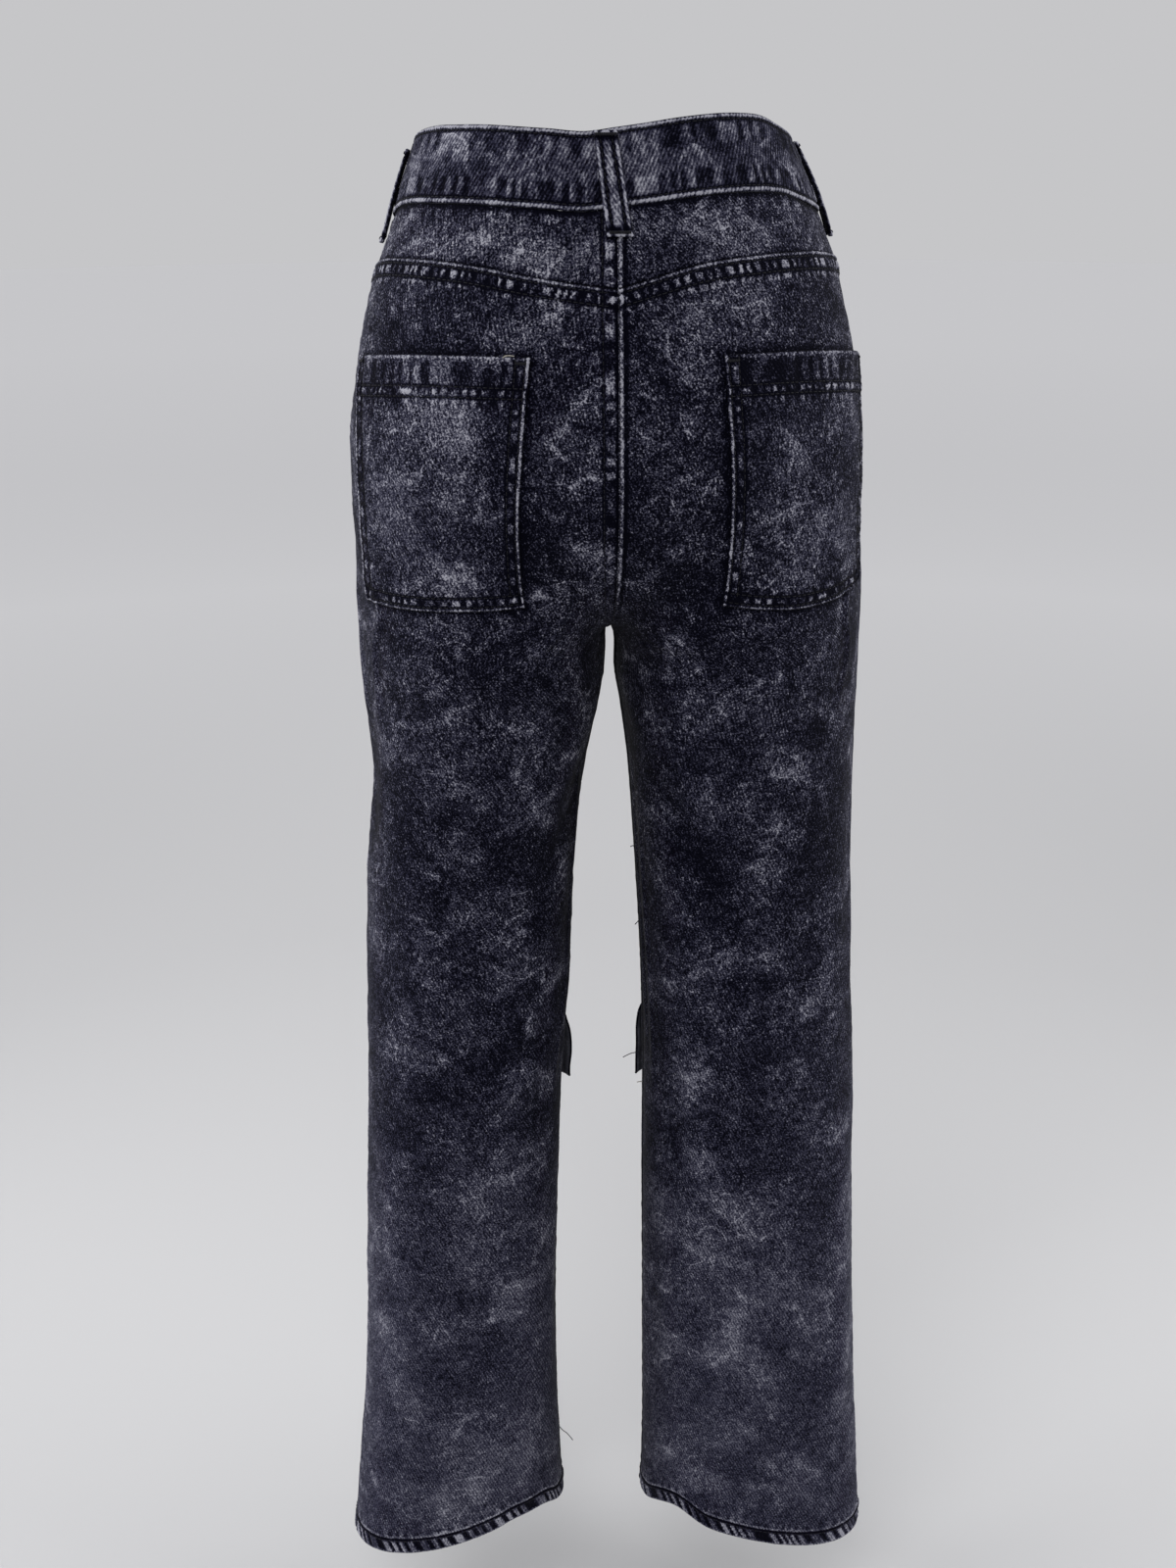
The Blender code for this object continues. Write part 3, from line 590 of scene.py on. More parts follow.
def clothPiece(name, points, normals, flatU, flatV, wearAndShade, wash, ply):
    lines, columns = points.shape[:2]
    bm = bmesh.new()
    bmesh.ops.create_grid(bm, x_segments=columns - 1, y_segments=lines - 1, size=1)
    mesh = bpy.data.meshes.new(name)
    bm.to_mesh(mesh)
    bm.free()
    mesh.vertices.foreach_set("co", points.astype(np.float32).ravel())
    mesh.update()
    middle = len(mesh.polygons) // 2
    corner = mesh.polygons[middle].vertices[0]
    outward = Vector(normals.reshape(-1, 3)[corner])
    if mesh.polygons[middle].normal.dot(outward) < 0:
        mesh.flip_normals()
    uv = mesh.uv_layers.new(name="clothUv")
    corners = np.empty(len(mesh.loops), dtype=np.int32)
    mesh.loops.foreach_get("vertex_index", corners)
    flat = np.stack([flatU.ravel(), flatV.ravel()], axis=1)[corners]
    uv.data.foreach_set("uv", flat.astype(np.float32).ravel())
    # the first attribute holds real wear, pale on ridges and puffs, together with painted shade, dark in
    # stitch grooves, at rolled edges and where one piece meets or lies over another
    for label, values in (("wearAndShade", wearAndShade), ("wash", wash)):
        attribute = mesh.attributes.new(label, "FLOAT", "POINT")
        attribute.data.foreach_set("value", np.clip(values, -2, 2).astype(np.float32).ravel())
    mesh.shade_smooth()
    piece = addObject(name, mesh)
    thick = piece.modifiers.new("thickness", "SOLIDIFY")
    thick.thickness = ply
    thick.offset = -1
    thick.material_offset = 1
    down = points[1:, :-1] - points[:-1, :-1]
    across = points[:-1, 1:] - points[:-1, :-1]
    area = np.linalg.norm(np.cross(down, across), axis=2).sum()
    pieces[name] = {"object": piece, "area": float(area)}


def traceColumn(points, normals, field, level, keep=None):
    # the line on a grid where a field that grows along the columns reaches a level
    path = []
    facing = []
    for i in range(points.shape[0]):
        line = field[i]
        order = 1 if line[-1] > line[0] else -1
        place = np.interp(level, line[::order], np.arange(len(line))[::order])
        j = int(np.clip(math.floor(place), 0, len(line) - 2))
        part = place - j
        if keep is None or keep[i, j]:
            path.append(points[i, j] * (1 - part) + points[i, j + 1] * part)
            facing.append(normals[i, j] * (1 - part) + normals[i, j + 1] * part)
    return np.array(path), np.array(facing)


def traceLine(points, normals, field, level, keep=None):
    swapped = None if keep is None else keep.T
    return traceColumn(points.transpose(1, 0, 2), normals.transpose(1, 0, 2), field.T, level, swapped)


# distances of the grid's columns from a felled seam
seamColumns = [0, 0.0005, 0.0010, 0.0016, 0.0022, 0.0028, 0.0035, 0.0045, 0.0060, 0.0070, 0.0078, 0.0084,
               0.0091, 0.0102, 0.0120]


def panelColumns(near, far, cell, length):
    # distances from the side seam for a reference length: fine near both seams, even between them
    count = int(round((length - near[-1] - far[-1]) / cell))
    return near, far, np.linspace(0, 1, count + 1)[1:-1]


def spread(columns, length):
    near, far, between = columns
    length = length[..., None]
    start = np.broadcast_to(np.array(near), length.shape[:-1] + (len(near),))
    end = length - np.array(far[::-1])
    middle = near[-1] + between * (length - near[-1] - far[-1])
    return np.concatenate([start, middle, end], axis=-1)


legPanels = {
    "ply": 0.0013,
    "hemFold": (0.013, 0.0012),
    "hemRise": 0.0004,
    "back": {"across": 0.00150, "seat": 0.0024, "leg": 0.0056, "riseLines": 52},
    "front": {"across": 0.0042, "seat": 0.0042, "leg": 0.0056, "riseLines": 40},
    # height of the middle and how much lower the outer side hangs; then how far the hem is pulled down at
    # the inseam and over what width; then how far it rides up, how far from the inseam and over what width
    "openings": {
        "left": {"height": -1.013, "tilt": 0.17, "corner": (0.0140, 0.010), "lift": (0.0026, 0.037, 0.014)},
        "right": {"height": -1.024, "tilt": 0.12, "corner": (0.0060, 0.007), "lift": (0.0100, 0.024, 0.015)},
    },
    "hemMiddle": 0.115,
    "lapRise": 0.0010,
    "yokeLap": seamStyle(rows=(0.0026, 0.0096), puffs=(0.0034, 0.0090), pitch=0.0062, uneven=0.12, gap=0.24,
                         puffWear=3.0, seed=3),
    "yokeBelow": seamStyle(**noEdge, puffs=(0.0103, 0.0150), pitch=0.0062, uneven=0.12, gap=0.24,
                           puffRise=0.0004, puffWear=1.5, between=0.2, seed=3),
    "seatLap": seamStyle(**dict(noEdge, rows=(0.0006, 0.0084)), puffs=(0.0014, 0.0078), pitch=0.0120,
                         uneven=0.25, gap=0.15, puffWear=2.0, seed=5),
    "seatFade": (-0.205, -0.265),    # the puffs of the centre seam die out between these heights
    "quiet": 0.15,
    "crotchBlend": (0.002, 0.014),   # how far from the crotch the seams of seat and leg meet, how softly
    "centreStart": (0.012, 0.045),
    "yokeLapEdge": (0.0112, 0.0012),
    "inseamLapEdge": (0.0098, 0.0014),
    "inseamRise": 0.0008,
    # lines beside edges that have no stitching: amount, distance from the edge, half width; the dark lines
    # are painted shade where the edge meets the next piece
    "frontRelief": [(-0.0004, 0, 0.0012)],
    "frontShade": [(-0.6, 0, 0.0016)],
    "topShade": [(-0.8, 0, 0.0014)],
    "sideShade": [(-0.6, 0, 0.0009)],
    # how dark the painted shadow beside the back pockets is
    "pocketShade": 0.8,
    "hemRow": 0.0110,
    "rowEnds": (0.010, 0.008, 0.001),    # rows stop this far above and below the crotch, and at the hem
    "centreRowFront": 0.0016,
    "seatEdge": seamStyle(rows=(), edgeAt=0.0010, edgeWidth=0.0012, edgeWear=2.0, edgeDark=0,
                          edgeRise=0.0006, ropePitch=0.0040, puffRise=0, puffWear=0, seed=5),
    "inseamLap": seamStyle(rows=(0.0022, 0.0084), puffs=(0.0030, 0.0078), pitch=0.0090, puffRise=0.0006,
                           puffWear=1.2, edgeWear=1.0, seed=8),
    "sideSeam": seamStyle(rows=(), edgeWear=0.8, edgeAt=0.0016, edgeWidth=0.0014, edgeRise=0.0004,
                          roll=0.0006, puffs=(0.0010, 0.0090), pitch=0.0110, puffRise=0.0005, puffWear=0.7,
                          seed=12),
    "hem": seamStyle(rows=(0.0122,), roll=0.0006, edgeAt=0.0010, edgeWear=0.9, puffs=(0.0012, 0.0114),
                     slant=0.5, pitch=0.0082, uneven=0.22, gap=0.18, puffRise=0.0013, puffWear=2.3,
                     between=0.5, seed=17),
    "hemAbove": seamStyle(rows=(), edgeAt=0.0140, edgeWidth=0.0009, edgeWear=1.2, even=0.6, ropePitch=0.0080,
                          edgeDark=0, edgeRise=0.0003, roll=0, puffs=(0.0150, 0.0190), slant=0.3,
                          pitch=0.0082, uneven=0.22, puffRise=0.0005, puffWear=1.0, seed=17),
    "sideColumns": [0, 0.0008, 0.0018, 0.0030, 0.0048, 0.0072, 0.0100],
    "gridWidth": 0.245,
    # distances of the grid's lines below the upper seam and above the hem's edge
    "upperLines": [0, 0.0005, 0.0010, 0.0015, 0.0020, 0.0026, 0.0033, 0.0044, 0.0058, 0.0072, 0.0084, 0.0091,
                   0.0096, 0.0103, 0.0114, 0.0130, 0.0150],
    "hemLines": [0.016, 0.0145, 0.0135, 0.0125, 0.0117, 0.0110, 0.0103, 0.0094, 0.0082, 0.0070, 0.0058,
                 0.0046, 0.0034, 0.0023, 0.0013, 0.0006, 0.0],
}


def hemHeight(word, back, share):
    opening = legPanels["openings"][word]
    side = sides[word]
    level = np.full(share.shape, opening["height"])
    x = np.abs(form(side, back, share, level)[:, 0])
    fromInseam = x - readSides(legLevels, legColumns, "inner", side, level)
    corner = opening["corner"][0] * bell(fromInseam, opening["corner"][1])
    lift = opening["lift"][0] * bell(fromInseam - opening["lift"][1], opening["lift"][2])
    return opening["height"] - opening["tilt"] * (x - legPanels["hemMiddle"]) - corner + lift


def panelHeights(word, back, share, cells):
    # heights of the grid's lines for every column, from the upper seam down to the hem
    side = sides[word]
    around = aroundFrom(back, share)
    if back:
        top = yokeHeight(side, around)
    else:
        top = waistHeight(side, around) - waistband["height"]
    hem = hemHeight(word, back, share)
    rise = bodyForm["riseStart"]
    crotch = bodyForm["crotch"]
    lines = [top - drop for drop in legPanels["upperLines"]]
    low = lines[-1]
    count = int(round(np.max(low - rise) / cells["seat"]))
    for i in range(1, count):
        lines.append(low + (rise - low) * i / count)
    for i in range(cells["riseLines"] + 1):
        drop = math.sin(math.pi / 2 * i / cells["riseLines"]) ** (2 / bodyForm["risePower"])
        lines.append(np.full(share.shape, rise + (crotch - rise) * drop))
    fold = legPanels["hemLines"][0]
    count = int(round(np.max(crotch - hem - fold) / cells["leg"]))
    for i in range(1, count):
        lines.append(crotch + (hem + fold - crotch) * i / count)
    lines += [hem + above for above in legPanels["hemLines"]]
    return np.array(lines), top, hem


def pocketShade(word, fromCentre, z):
    # painted shadow of the back pocket on the panel: 1 right beside the pocket's sewn edge, fading within
    # millimetres
    inner, outer, mouthInner, mouthOuter, sag = backPockets[word]["mouth"]
    footInner, footOuter, footIn, footOut, footSag = backPockets[word]["foot"]
    down = np.clip((mouthInner - z) / (mouthInner - footIn), 0, 1)
    start = inner + (footInner - inner) * down - backPockets["bow"] * np.sin(math.pi * down)
    end = outer + (footOuter - outer) * down
    across = np.clip((fromCentre - start) / (end - start), 0, 1)
    above = z - (mouthInner + (mouthOuter - mouthInner) * across - sag * np.sin(math.pi * across))
    beneath = footIn + (footOut - footIn) * across - footSag * np.sin(math.pi * across) - z
    outside = np.maximum.reduce([start - fromCentre, fromCentre - end, above, beneath])
    return bell(np.maximum(outside, 0), backPockets["shadeWidth"])


# the felled centre seam of the back
centreLook = {
    "lap": (0.0090, 0.0014),       # the lap of the left side, then what ends under it on the right
    "under": (0.0027, 0.0004),
    "underRise": 1.2,
    "edge": 0.0025,
    "edgeEnd": (0.0030, 0.0004),
    # painted shadow: a dark line on the right side, just past the raised edge of the seam
    "beside": [(-1.6, 0.0040, 0.0012)],
    "pressed": (1.2, 0.0006, 0.0012),
    "row": {left: 0.0084, right: 0.0004},
}


def centreSeam(side, fromCentre, z, seat=1.0, lively=1.0):
    # the left side laps over the right one and ends a little past the middle
    look = centreLook
    lap = seat * legPanels["lapRise"]
    if side == left:
        rise, toneShift = seamLook(fromCentre, z, legPanels["seatLap"])
        amount, place, width = look["pressed"]
        dark = amount * (1 - lively) * bell(fromCentre - place, width)
        return lap * within(fromCentre, look["lap"]), rise * lively, toneShift * lively - dark
    rise, toneShift = seamLook(look["edge"] - fromCentre, z, legPanels["seatEdge"])
    inside = within(fromCentre, look["edgeEnd"])
    # painted shadow beside the raised edge
    toneShift = addLines(toneShift * inside, fromCentre, look["beside"])
    return lap * look["underRise"] * within(fromCentre, look["under"]), rise * inside, toneShift


def legPanel(name, word, back):
    side = sides[word]
    spec = legPanels
    cells = spec["back" if back else "front"]
    columns = panelColumns(spec["sideColumns"], seamColumns, cells["across"], spec["gridWidth"])
    # lines are laid out at even shares first, then each line's columns are spread over its own length
    guess = np.linspace(0, 1, 41)
    heights, top, hem = panelHeights(word, back, guess, cells)
    length = halfLength(side, back, heights.mean(axis=1))
    fromSide = spread(columns, length)
    length = length[:, None]
    share = fromSide / length
    z = np.stack([np.interp(share[i], guess, heights[i]) for i in range(len(heights))])
    fromCentre = length - fromSide
    fromTop = np.interp(share, guess, top) - z
    fromHem = z - np.interp(share, guess, hem)
    crotch = bodyForm["crotch"]
    gap, soft = spec["crotchBlend"]
    seat = smoothStep((z - crotch + gap) / soft)
    leg = smoothStep((crotch - gap - z) / soft)
    gap, soft = spec["centreStart"]
    faded = smoothStep((z - crotch - gap) / soft)
    start, end = spec["seatFade"]
    quiet = spec["quiet"]
    lively = quiet + (1 - quiet) * smoothStep((z - end) / (start - end))

    folds = drape(side, back, share, z)
    height = folds
    wash = washOut(side, back, share, z) + washLook["folds"] * folds
    wearAndShade = np.zeros(share.shape)
    if back:
        # painted shadow of each back pocket on the panel, right beside its edge
        wearAndShade = wearAndShade - spec["pocketShade"] * pocketShade(word, fromCentre, z)
        # the panel's folded upper edge lies on the yoke
        height = height + spec["lapRise"] * within(fromTop, spec["yokeLapEdge"])
        for look in ("yokeLap", "yokeBelow"):
            height, wearAndShade = sewn(height, wearAndShade, fromTop, side * fromSide, spec[look])
        lap, rise, toneShift = centreSeam(side, fromCentre, z, seat, lively)
        height = height + lap + seat * faded * rise
        wearAndShade = wearAndShade + seat * faded * toneShift
        height = height + leg * spec["inseamRise"] * within(fromCentre, spec["inseamLapEdge"])
        height, wearAndShade = sewn(height, wearAndShade, fromCentre, z, spec["inseamLap"], leg)
    else:
        height = addLines(height, fromCentre, spec["frontRelief"])
        # painted shade along the centre edge of the front, where the two fronts meet
        wearAndShade = addLines(wearAndShade, fromCentre, spec["frontShade"])
        height, wearAndShade = sewn(height, wearAndShade, fromCentre, z, spec["seatEdge"], seat)
        # painted shade along the top edge, under the waistband
        wearAndShade = addLines(wearAndShade, fromTop, spec["topShade"])
    height, wearAndShade = sewn(height, wearAndShade, fromSide, z, spec["sideSeam"])
    # painted shade in the side seam
    wearAndShade = addLines(wearAndShade, fromSide, spec["sideShade"])
    height = height + spec["hemRise"] * within(fromHem, spec["hemFold"])
    way = side * (1 if back else -1)
    for look in ("hem", "hemAbove"):
        height, wearAndShade = sewn(height, wearAndShade, fromHem, way * fromSide, spec[look])
    points, normals = skin(side, back, share, z, height)
    clothPiece(name, points, normals, way * fromSide, z, wearAndShade, wash, spec["ply"])

    legRows = threadRows["topstitchLegs"]
    seatRows = threadRows["topstitchSeat"]
    legRows.append(traceLine(points, normals, fromHem, spec["hemRow"]))
    aboveCrotch, belowCrotch, aboveHem = spec["rowEnds"]
    above = z > crotch + aboveCrotch
    below = (z < crotch - belowCrotch) & (fromHem > aboveHem)
    if back:
        for row in spec["yokeLap"]["rows"]:
            seatRows.append(traceLine(points, normals, fromTop, row))
        seatRows.append(traceColumn(points, normals, fromCentre, centreLook["row"][side], above))
        for row in spec["inseamLap"]["rows"]:
            legRows.append(traceColumn(points, normals, fromCentre, row, below))
    elif side == left:
        above &= z < spec["seatFade"][0]
        line = traceColumn(points, normals, fromCentre, spec["centreRowFront"], above)
        threadRows["topstitchFront"].append(line)


waistband = {
    "height": 0.042,
    "out": 0.0008,
    "ply": 0.0026,
    "overlap": 0.018,
    "overlapLift": 0.0036,
    "liftFrom": (0.6, 0.3),
    "cell": 0.0014,
    "lapAt": -0.02,         # heights at which the overlap and the length all round are measured
    "middle": -0.025,
    # distances below the upper edge, finest at the two stitched edges
    "edgeLines": [0, 0.0004, 0.0009, 0.0015, 0.0021, 0.0027, 0.0033, 0.0040, 0.0050, 0.0062, 0.0075, 0.0090,
                  0.0105],
    "waves": {"height": 0.00025, "size": 0.03, "seed": 41},
    "swell": {"height": 0.0003, "width": 0.016},
    "wash": {"even": 0.72, "clouds": 0.28, "size": 0.07, "seed": 43},
    "upper": seamStyle(rows=(0.0030,), roll=0.0007, edgeAt=0.0013, edgeWidth=0.0011, edgeWear=2.2,
                       edgeDark=1.4, puffs=(0.0038, 0.0150), pitch=0.0150, uneven=0.3, gap=0.1,
                       puffRise=0.0007, puffWear=1.0, between=0.6, seed=31),
    "lower": seamStyle(rows=(0.0034,), roll=0.0007, edgeAt=0.0016, edgeWidth=0.0015, edgeWear=1.9,
                       edgeDark=1.6, edgeRise=0.0005, ropePitch=0.0030, ropeSlant=0.6,
                       puffs=(0.0042, 0.0150), pitch=0.0100, uneven=0.25, puffWear=1.4, between=0.5,
                       seed=37),
}


def makeWaistband():
    band = waistband
    cell = band["cell"]
    stations = []
    lap = band["overlap"] / float(halfLength(right, False, band["lapAt"]))

    def walk(side, back, start, end):
        count = int(round(float(halfLength(side, back, band["middle"])) * abs(end - start) / cell))
        return [(side, back, q) for q in np.linspace(start, end, count + 1)[1:]]

    stations.append((right, False, 1.0))
    stations += walk(right, False, 1, 0)
    stations += walk(right, True, 0, 1)
    stations += walk(left, True, 1, 0)
    stations += walk(left, False, 0, 1)
    stations += walk(right, False, 1, 1 - lap)
    side, back, share = [np.array(column) for column in zip(*stations)]
    order = np.arange(len(side))
    turned = np.where((side == left) & ~back)[0][0]
    lapped = order > np.where((side == left) & ~back)[0][-1]
    start, over = band["liftFrom"]
    lift = np.where((side == left) & ~back & (order >= turned), np.clip((share - start) / over, 0, 1), 0.0)
    lift = band["overlapLift"] * np.where(lapped, 1.0, lift)
    top = waistHeight(side, aroundFrom(back, share))
    half = band["edgeLines"]
    middle = np.linspace(half[-1], band["height"] - half[-1], 15)[1:-1]
    drops = np.array(half + list(middle) + [band["height"] - d for d in half[::-1]])[:, None]
    z = top - drops
    steps = halfLength(side, back, band["middle"])
    along = np.concatenate([[0], np.cumsum(np.abs(np.diff(share)) * steps[1:])])
    fromTop = drops + 0 * z
    fromFoot = band["height"] - fromTop
    alongAll = along[None, :] + 0 * z
    waves = band["waves"]
    swell = band["swell"]
    height = band["out"] + lift[None, :] + waves["height"] * ripple(alongAll, z, waves["size"], waves["seed"])
    height = height + swell["height"] * bell(fromTop - 0.5 * band["height"], swell["width"])
    wearAndShade = np.zeros(z.shape)
    for edge, look in ((fromTop, "upper"), (fromFoot, "lower")):
        height, wearAndShade = sewn(height, wearAndShade, edge, alongAll, band[look])
    points, normals = skin(side[None, :], back[None, :], share[None, :], z, height)
    bleach = band["wash"]
    wash = bleach["even"] + bleach["clouds"] * ripple(alongAll, z, bleach["size"], bleach["seed"])
    clothPiece("waistbandCloth", points, normals, alongAll, z, wearAndShade, wash, band["ply"])
    for drop in (band["upper"]["rows"][0], band["height"] - band["lower"]["rows"][0]):
        threadRows["topstitchSeat"].append(traceLine(points, normals, fromTop, drop))


yokes = {
    "ply": 0.0012,
    "cell": 0.0015,
    # painted shade: the lower edge is painted dark, in the seam where the yoke meets the back panel
    "lowerShade": [(-0.9, 0, 0.0012)],
    "lowerRelief": [(-0.0003, 0, 0.0016)],
    # painted shade: the upper edge, under the waistband's lower edge, is painted dark by a negative edge wear
    "upper": seamStyle(rows=(), roll=0, edgeWear=-2.4, edgeDark=0, edgeAt=0.0004, edgeWidth=0.0020,
                       edgeRise=-0.0003, puffs=(0.0022, 0.0080), pitch=0.0100, puffRise=0.0004, puffWear=0.9,
                       seed=37),
}


def makeYoke(word):
    side = sides[word]
    length = float(halfLength(side, True, -0.06))
    columns = panelColumns(legPanels["sideColumns"][:5], seamColumns, yokes["cell"], length)
    fromSide = spread(columns, np.array([length]))[0]
    share = fromSide / length
    top = waistHeight(side, aroundFrom(True, share)) - waistband["height"]
    low = yokeHeight(side, aroundFrom(True, share))
    count = int(round(np.max(top - low) / yokes["cell"]))
    z = top + (low - top) * np.linspace(0, 1, count + 1)[:, None]
    shareAll = share[None, :] + 0 * z
    fromSideAll = shareAll * halfLength(side, True, z)
    fromCentre = halfLength(side, True, z) - fromSideAll
    height = drape(side, True, shareAll, z)
    wearAndShade = np.zeros(z.shape)
    lap, rise, toneShift = centreSeam(side, fromCentre, z)
    height = height + lap + rise
    wearAndShade = wearAndShade + toneShift
    # the upper edge is painted dark: painted shade under the waistband
    height, wearAndShade = sewn(height, wearAndShade, top - z, side * fromSideAll, yokes["upper"])
    # painted shade along the lower edge, in the seam with the back panel
    wearAndShade = addLines(wearAndShade, z - low, yokes["lowerShade"])
    height = addLines(height, z - low, yokes["lowerRelief"])
    height, wearAndShade = sewn(height, wearAndShade, fromSideAll, z, legPanels["sideSeam"])
    points, normals = skin(side, True, shareAll, z, height)
    name = "backYoke" + word.capitalize()
    wash = washOut(side, True, shareAll, z)
    clothPiece(name, points, normals, side * fromSideAll, z, wearAndShade, wash, yokes["ply"])
    line = traceColumn(points, normals, fromCentre, centreLook["row"][side])
    threadRows["topstitchSeat"].append(line)


backPockets = {
    "ply": 0.0013,
    "cell": 0.0014,
    "base": 0.0021,
    "mouthGap": 0.0016,
    "hemRise": 0.0006,
    "hemDepth": 0.0235,
    "hemEnd": (0.0006, 0.0012),
    "gapDepth": 0.020,         # the mouth stands off, less and less over this depth
    "edgeCalm": 0.25,
    "rows": (0.0026, 0.0084),
    # a soft line pressed across the lower part by the wearer
    "pressed": {"above": 0.044, "bow": 0.006, "turns": 1.2, "depth": 0.0006, "width": 0.006},
    "waves": {"height": 0.00025, "size": 0.03, "seed": 73},
    "clouds": {"amount": 0.30, "size": 0.05, "seed": 75},
    "darkRim": {"amount": 0.25, "width": 0.03},
    # half width of the painted shadow that the pocket leaves on the panel
    "shadeWidth": 0.0030,
    "rowStart": 0.0012,
    "barTack": {"in": 0.0050, "next": 0.0060, "down": 0.0030, "width": 0.0070},
    # distances of the grid's lines from the mouth and from the foot
    "mouthLines": [0, 0.0004, 0.0008, 0.0014, 0.0022],
    "mouthEnd": 0.0034,
    "footStart": 0.0095,
    "footLines": [0.0089, 0.0084, 0.0079, 0.0070, 0.0058, 0.0045, 0.0035, 0.0030, 0.0026, 0.0021, 0.0016,
                  0.0012, 0.0008, 0.0004, 0.0],
    # corners: distances from the centre seam along the cloth and heights, then how far the edge sags
    "left": {
        "mouth": (0.0493, 0.1795, -0.1210, -0.1277, -0.0026),
        "foot": (0.0695, 0.1770, -0.2675, -0.2735, 0.001),
    },
    "right": {
        "mouth": (0.0600, 0.1865, -0.1210, -0.1300, -0.003),
        "foot": (0.0788, 0.1835, -0.2685, -0.2670, 0.006),
    },
    "bow": 0.0012,
    "mouthEdge": seamStyle(rows=(0.0172, 0.0230), roll=0.0006, edgeAt=0.0010, edgeWidth=0.0009,
                           edgeWear=1.4, puffs=(0.0178, 0.0224), pitch=0.0060, uneven=0.22, gap=0.16,
                           puffWear=2.5, seed=61),
    "mouthBelow": seamStyle(**noEdge, puffs=(0.0238, 0.0290), pitch=0.0060, uneven=0.22, puffRise=0.0004,
                            puffWear=1.4, seed=61),
    "mouthAbove": seamStyle(**noEdge, puffs=(0.0030, 0.0166), pitch=0.0120, uneven=0.3, gap=0.2,
                            puffRise=0.0004, puffWear=1.2, between=0.75, seed=62),
    "sideEdge": seamStyle(rows=(0.0028, 0.0086), roll=0.0006, edgeAt=0.0014, edgeWidth=0.0012, edgeWear=2.0,
                          edgeDark=1.6, edgeRise=0.0006, ropePitch=0.0042, even=0.7, puffs=(0.0036, 0.0080),
                          pitch=0.0100, uneven=0.25, gap=0.2, puffRise=0.0007, puffWear=1.9, seed=67),
    "footEdge": seamStyle(rows=(0.0026, 0.0084), roll=0.0006, edgeAt=0.0012, edgeWear=1.4, edgeDark=1.6,
                          puffs=(0.0034, 0.0078), pitch=0.0070, uneven=0.2, gap=0.2, puffWear=2.7, seed=71),
    "footInside": seamStyle(**noEdge, puffs=(0.0090, 0.0135), pitch=0.0076, puffRise=0.0004, puffWear=0.9,
                            seed=71),
    "wash": {"left": 0.45, "right": 0.15},
}


# the edge of a patch flattens where another edge crosses it: from how near, over what distance, and how
# far its stitches run on past the other edge's first row
crossing = (0.0005, 0.0015, 0.0002)


def stitchedPatch(name, group, side, back, share, z, base, edges, ply, extraHeight, extraWash=0):
    # a patch sewn on a panel; edges lists (distance from it, coordinate along it, looks, stitch rows,
    # whether it runs up and down)
    folds = drape(side, back, share, z)
    height = folds + base + extraHeight
    wash = washOut(side, back, share, z) + washLook["folds"] * folds + extraWash
    wearAndShade = np.zeros(z.shape)
    for field, along, looks, rows, across in edges:
        others = [other[0] for other in edges if other[0] is not field]
        for look in looks:
            rise, toneShift = seamLook(field, along, look)
            for other in others:
                rise = rise * smoothStep((other - crossing[0]) / crossing[1])
            height = height + rise
            wearAndShade = wearAndShade + toneShift
    points, normals = skin(side, back, share, z, height)
    fromSide = share * halfLength(side, back, z)
    way = side * (1 if back else -1)
    clothPiece(name, points, normals, way * fromSide, z, wearAndShade, wash, ply)
    for field, along, looks, rows, across in edges:
        for row in rows:
            keep = np.ones(z.shape, dtype=bool)
            for other in edges:
                if other[0] is not field and len(other[3]):
                    keep &= other[0] > min(other[3]) - crossing[2]
            trace = traceColumn if across else traceLine
            threadRows[group].append(trace(points, normals, field, row, keep))
    return points, normals


fineSteps = [0, 0.0004, 0.0008, 0.0013, 0.0018, 0.0022, 0.0026, 0.0031, 0.0038, 0.0050, 0.0063, 0.0074,
             0.0080, 0.0084, 0.0089, 0.0098]


def edgeSpacing(total, cell):
    # distances from one edge to the other, fine near both
    fine = fineSteps
    count = max(2, int(round((total - 2 * fine[-1]) / cell)))
    middle = np.linspace(fine[-1], total - fine[-1], count + 1)[1:-1]
    return np.concatenate([fine, middle, total - np.array(fine[::-1])])


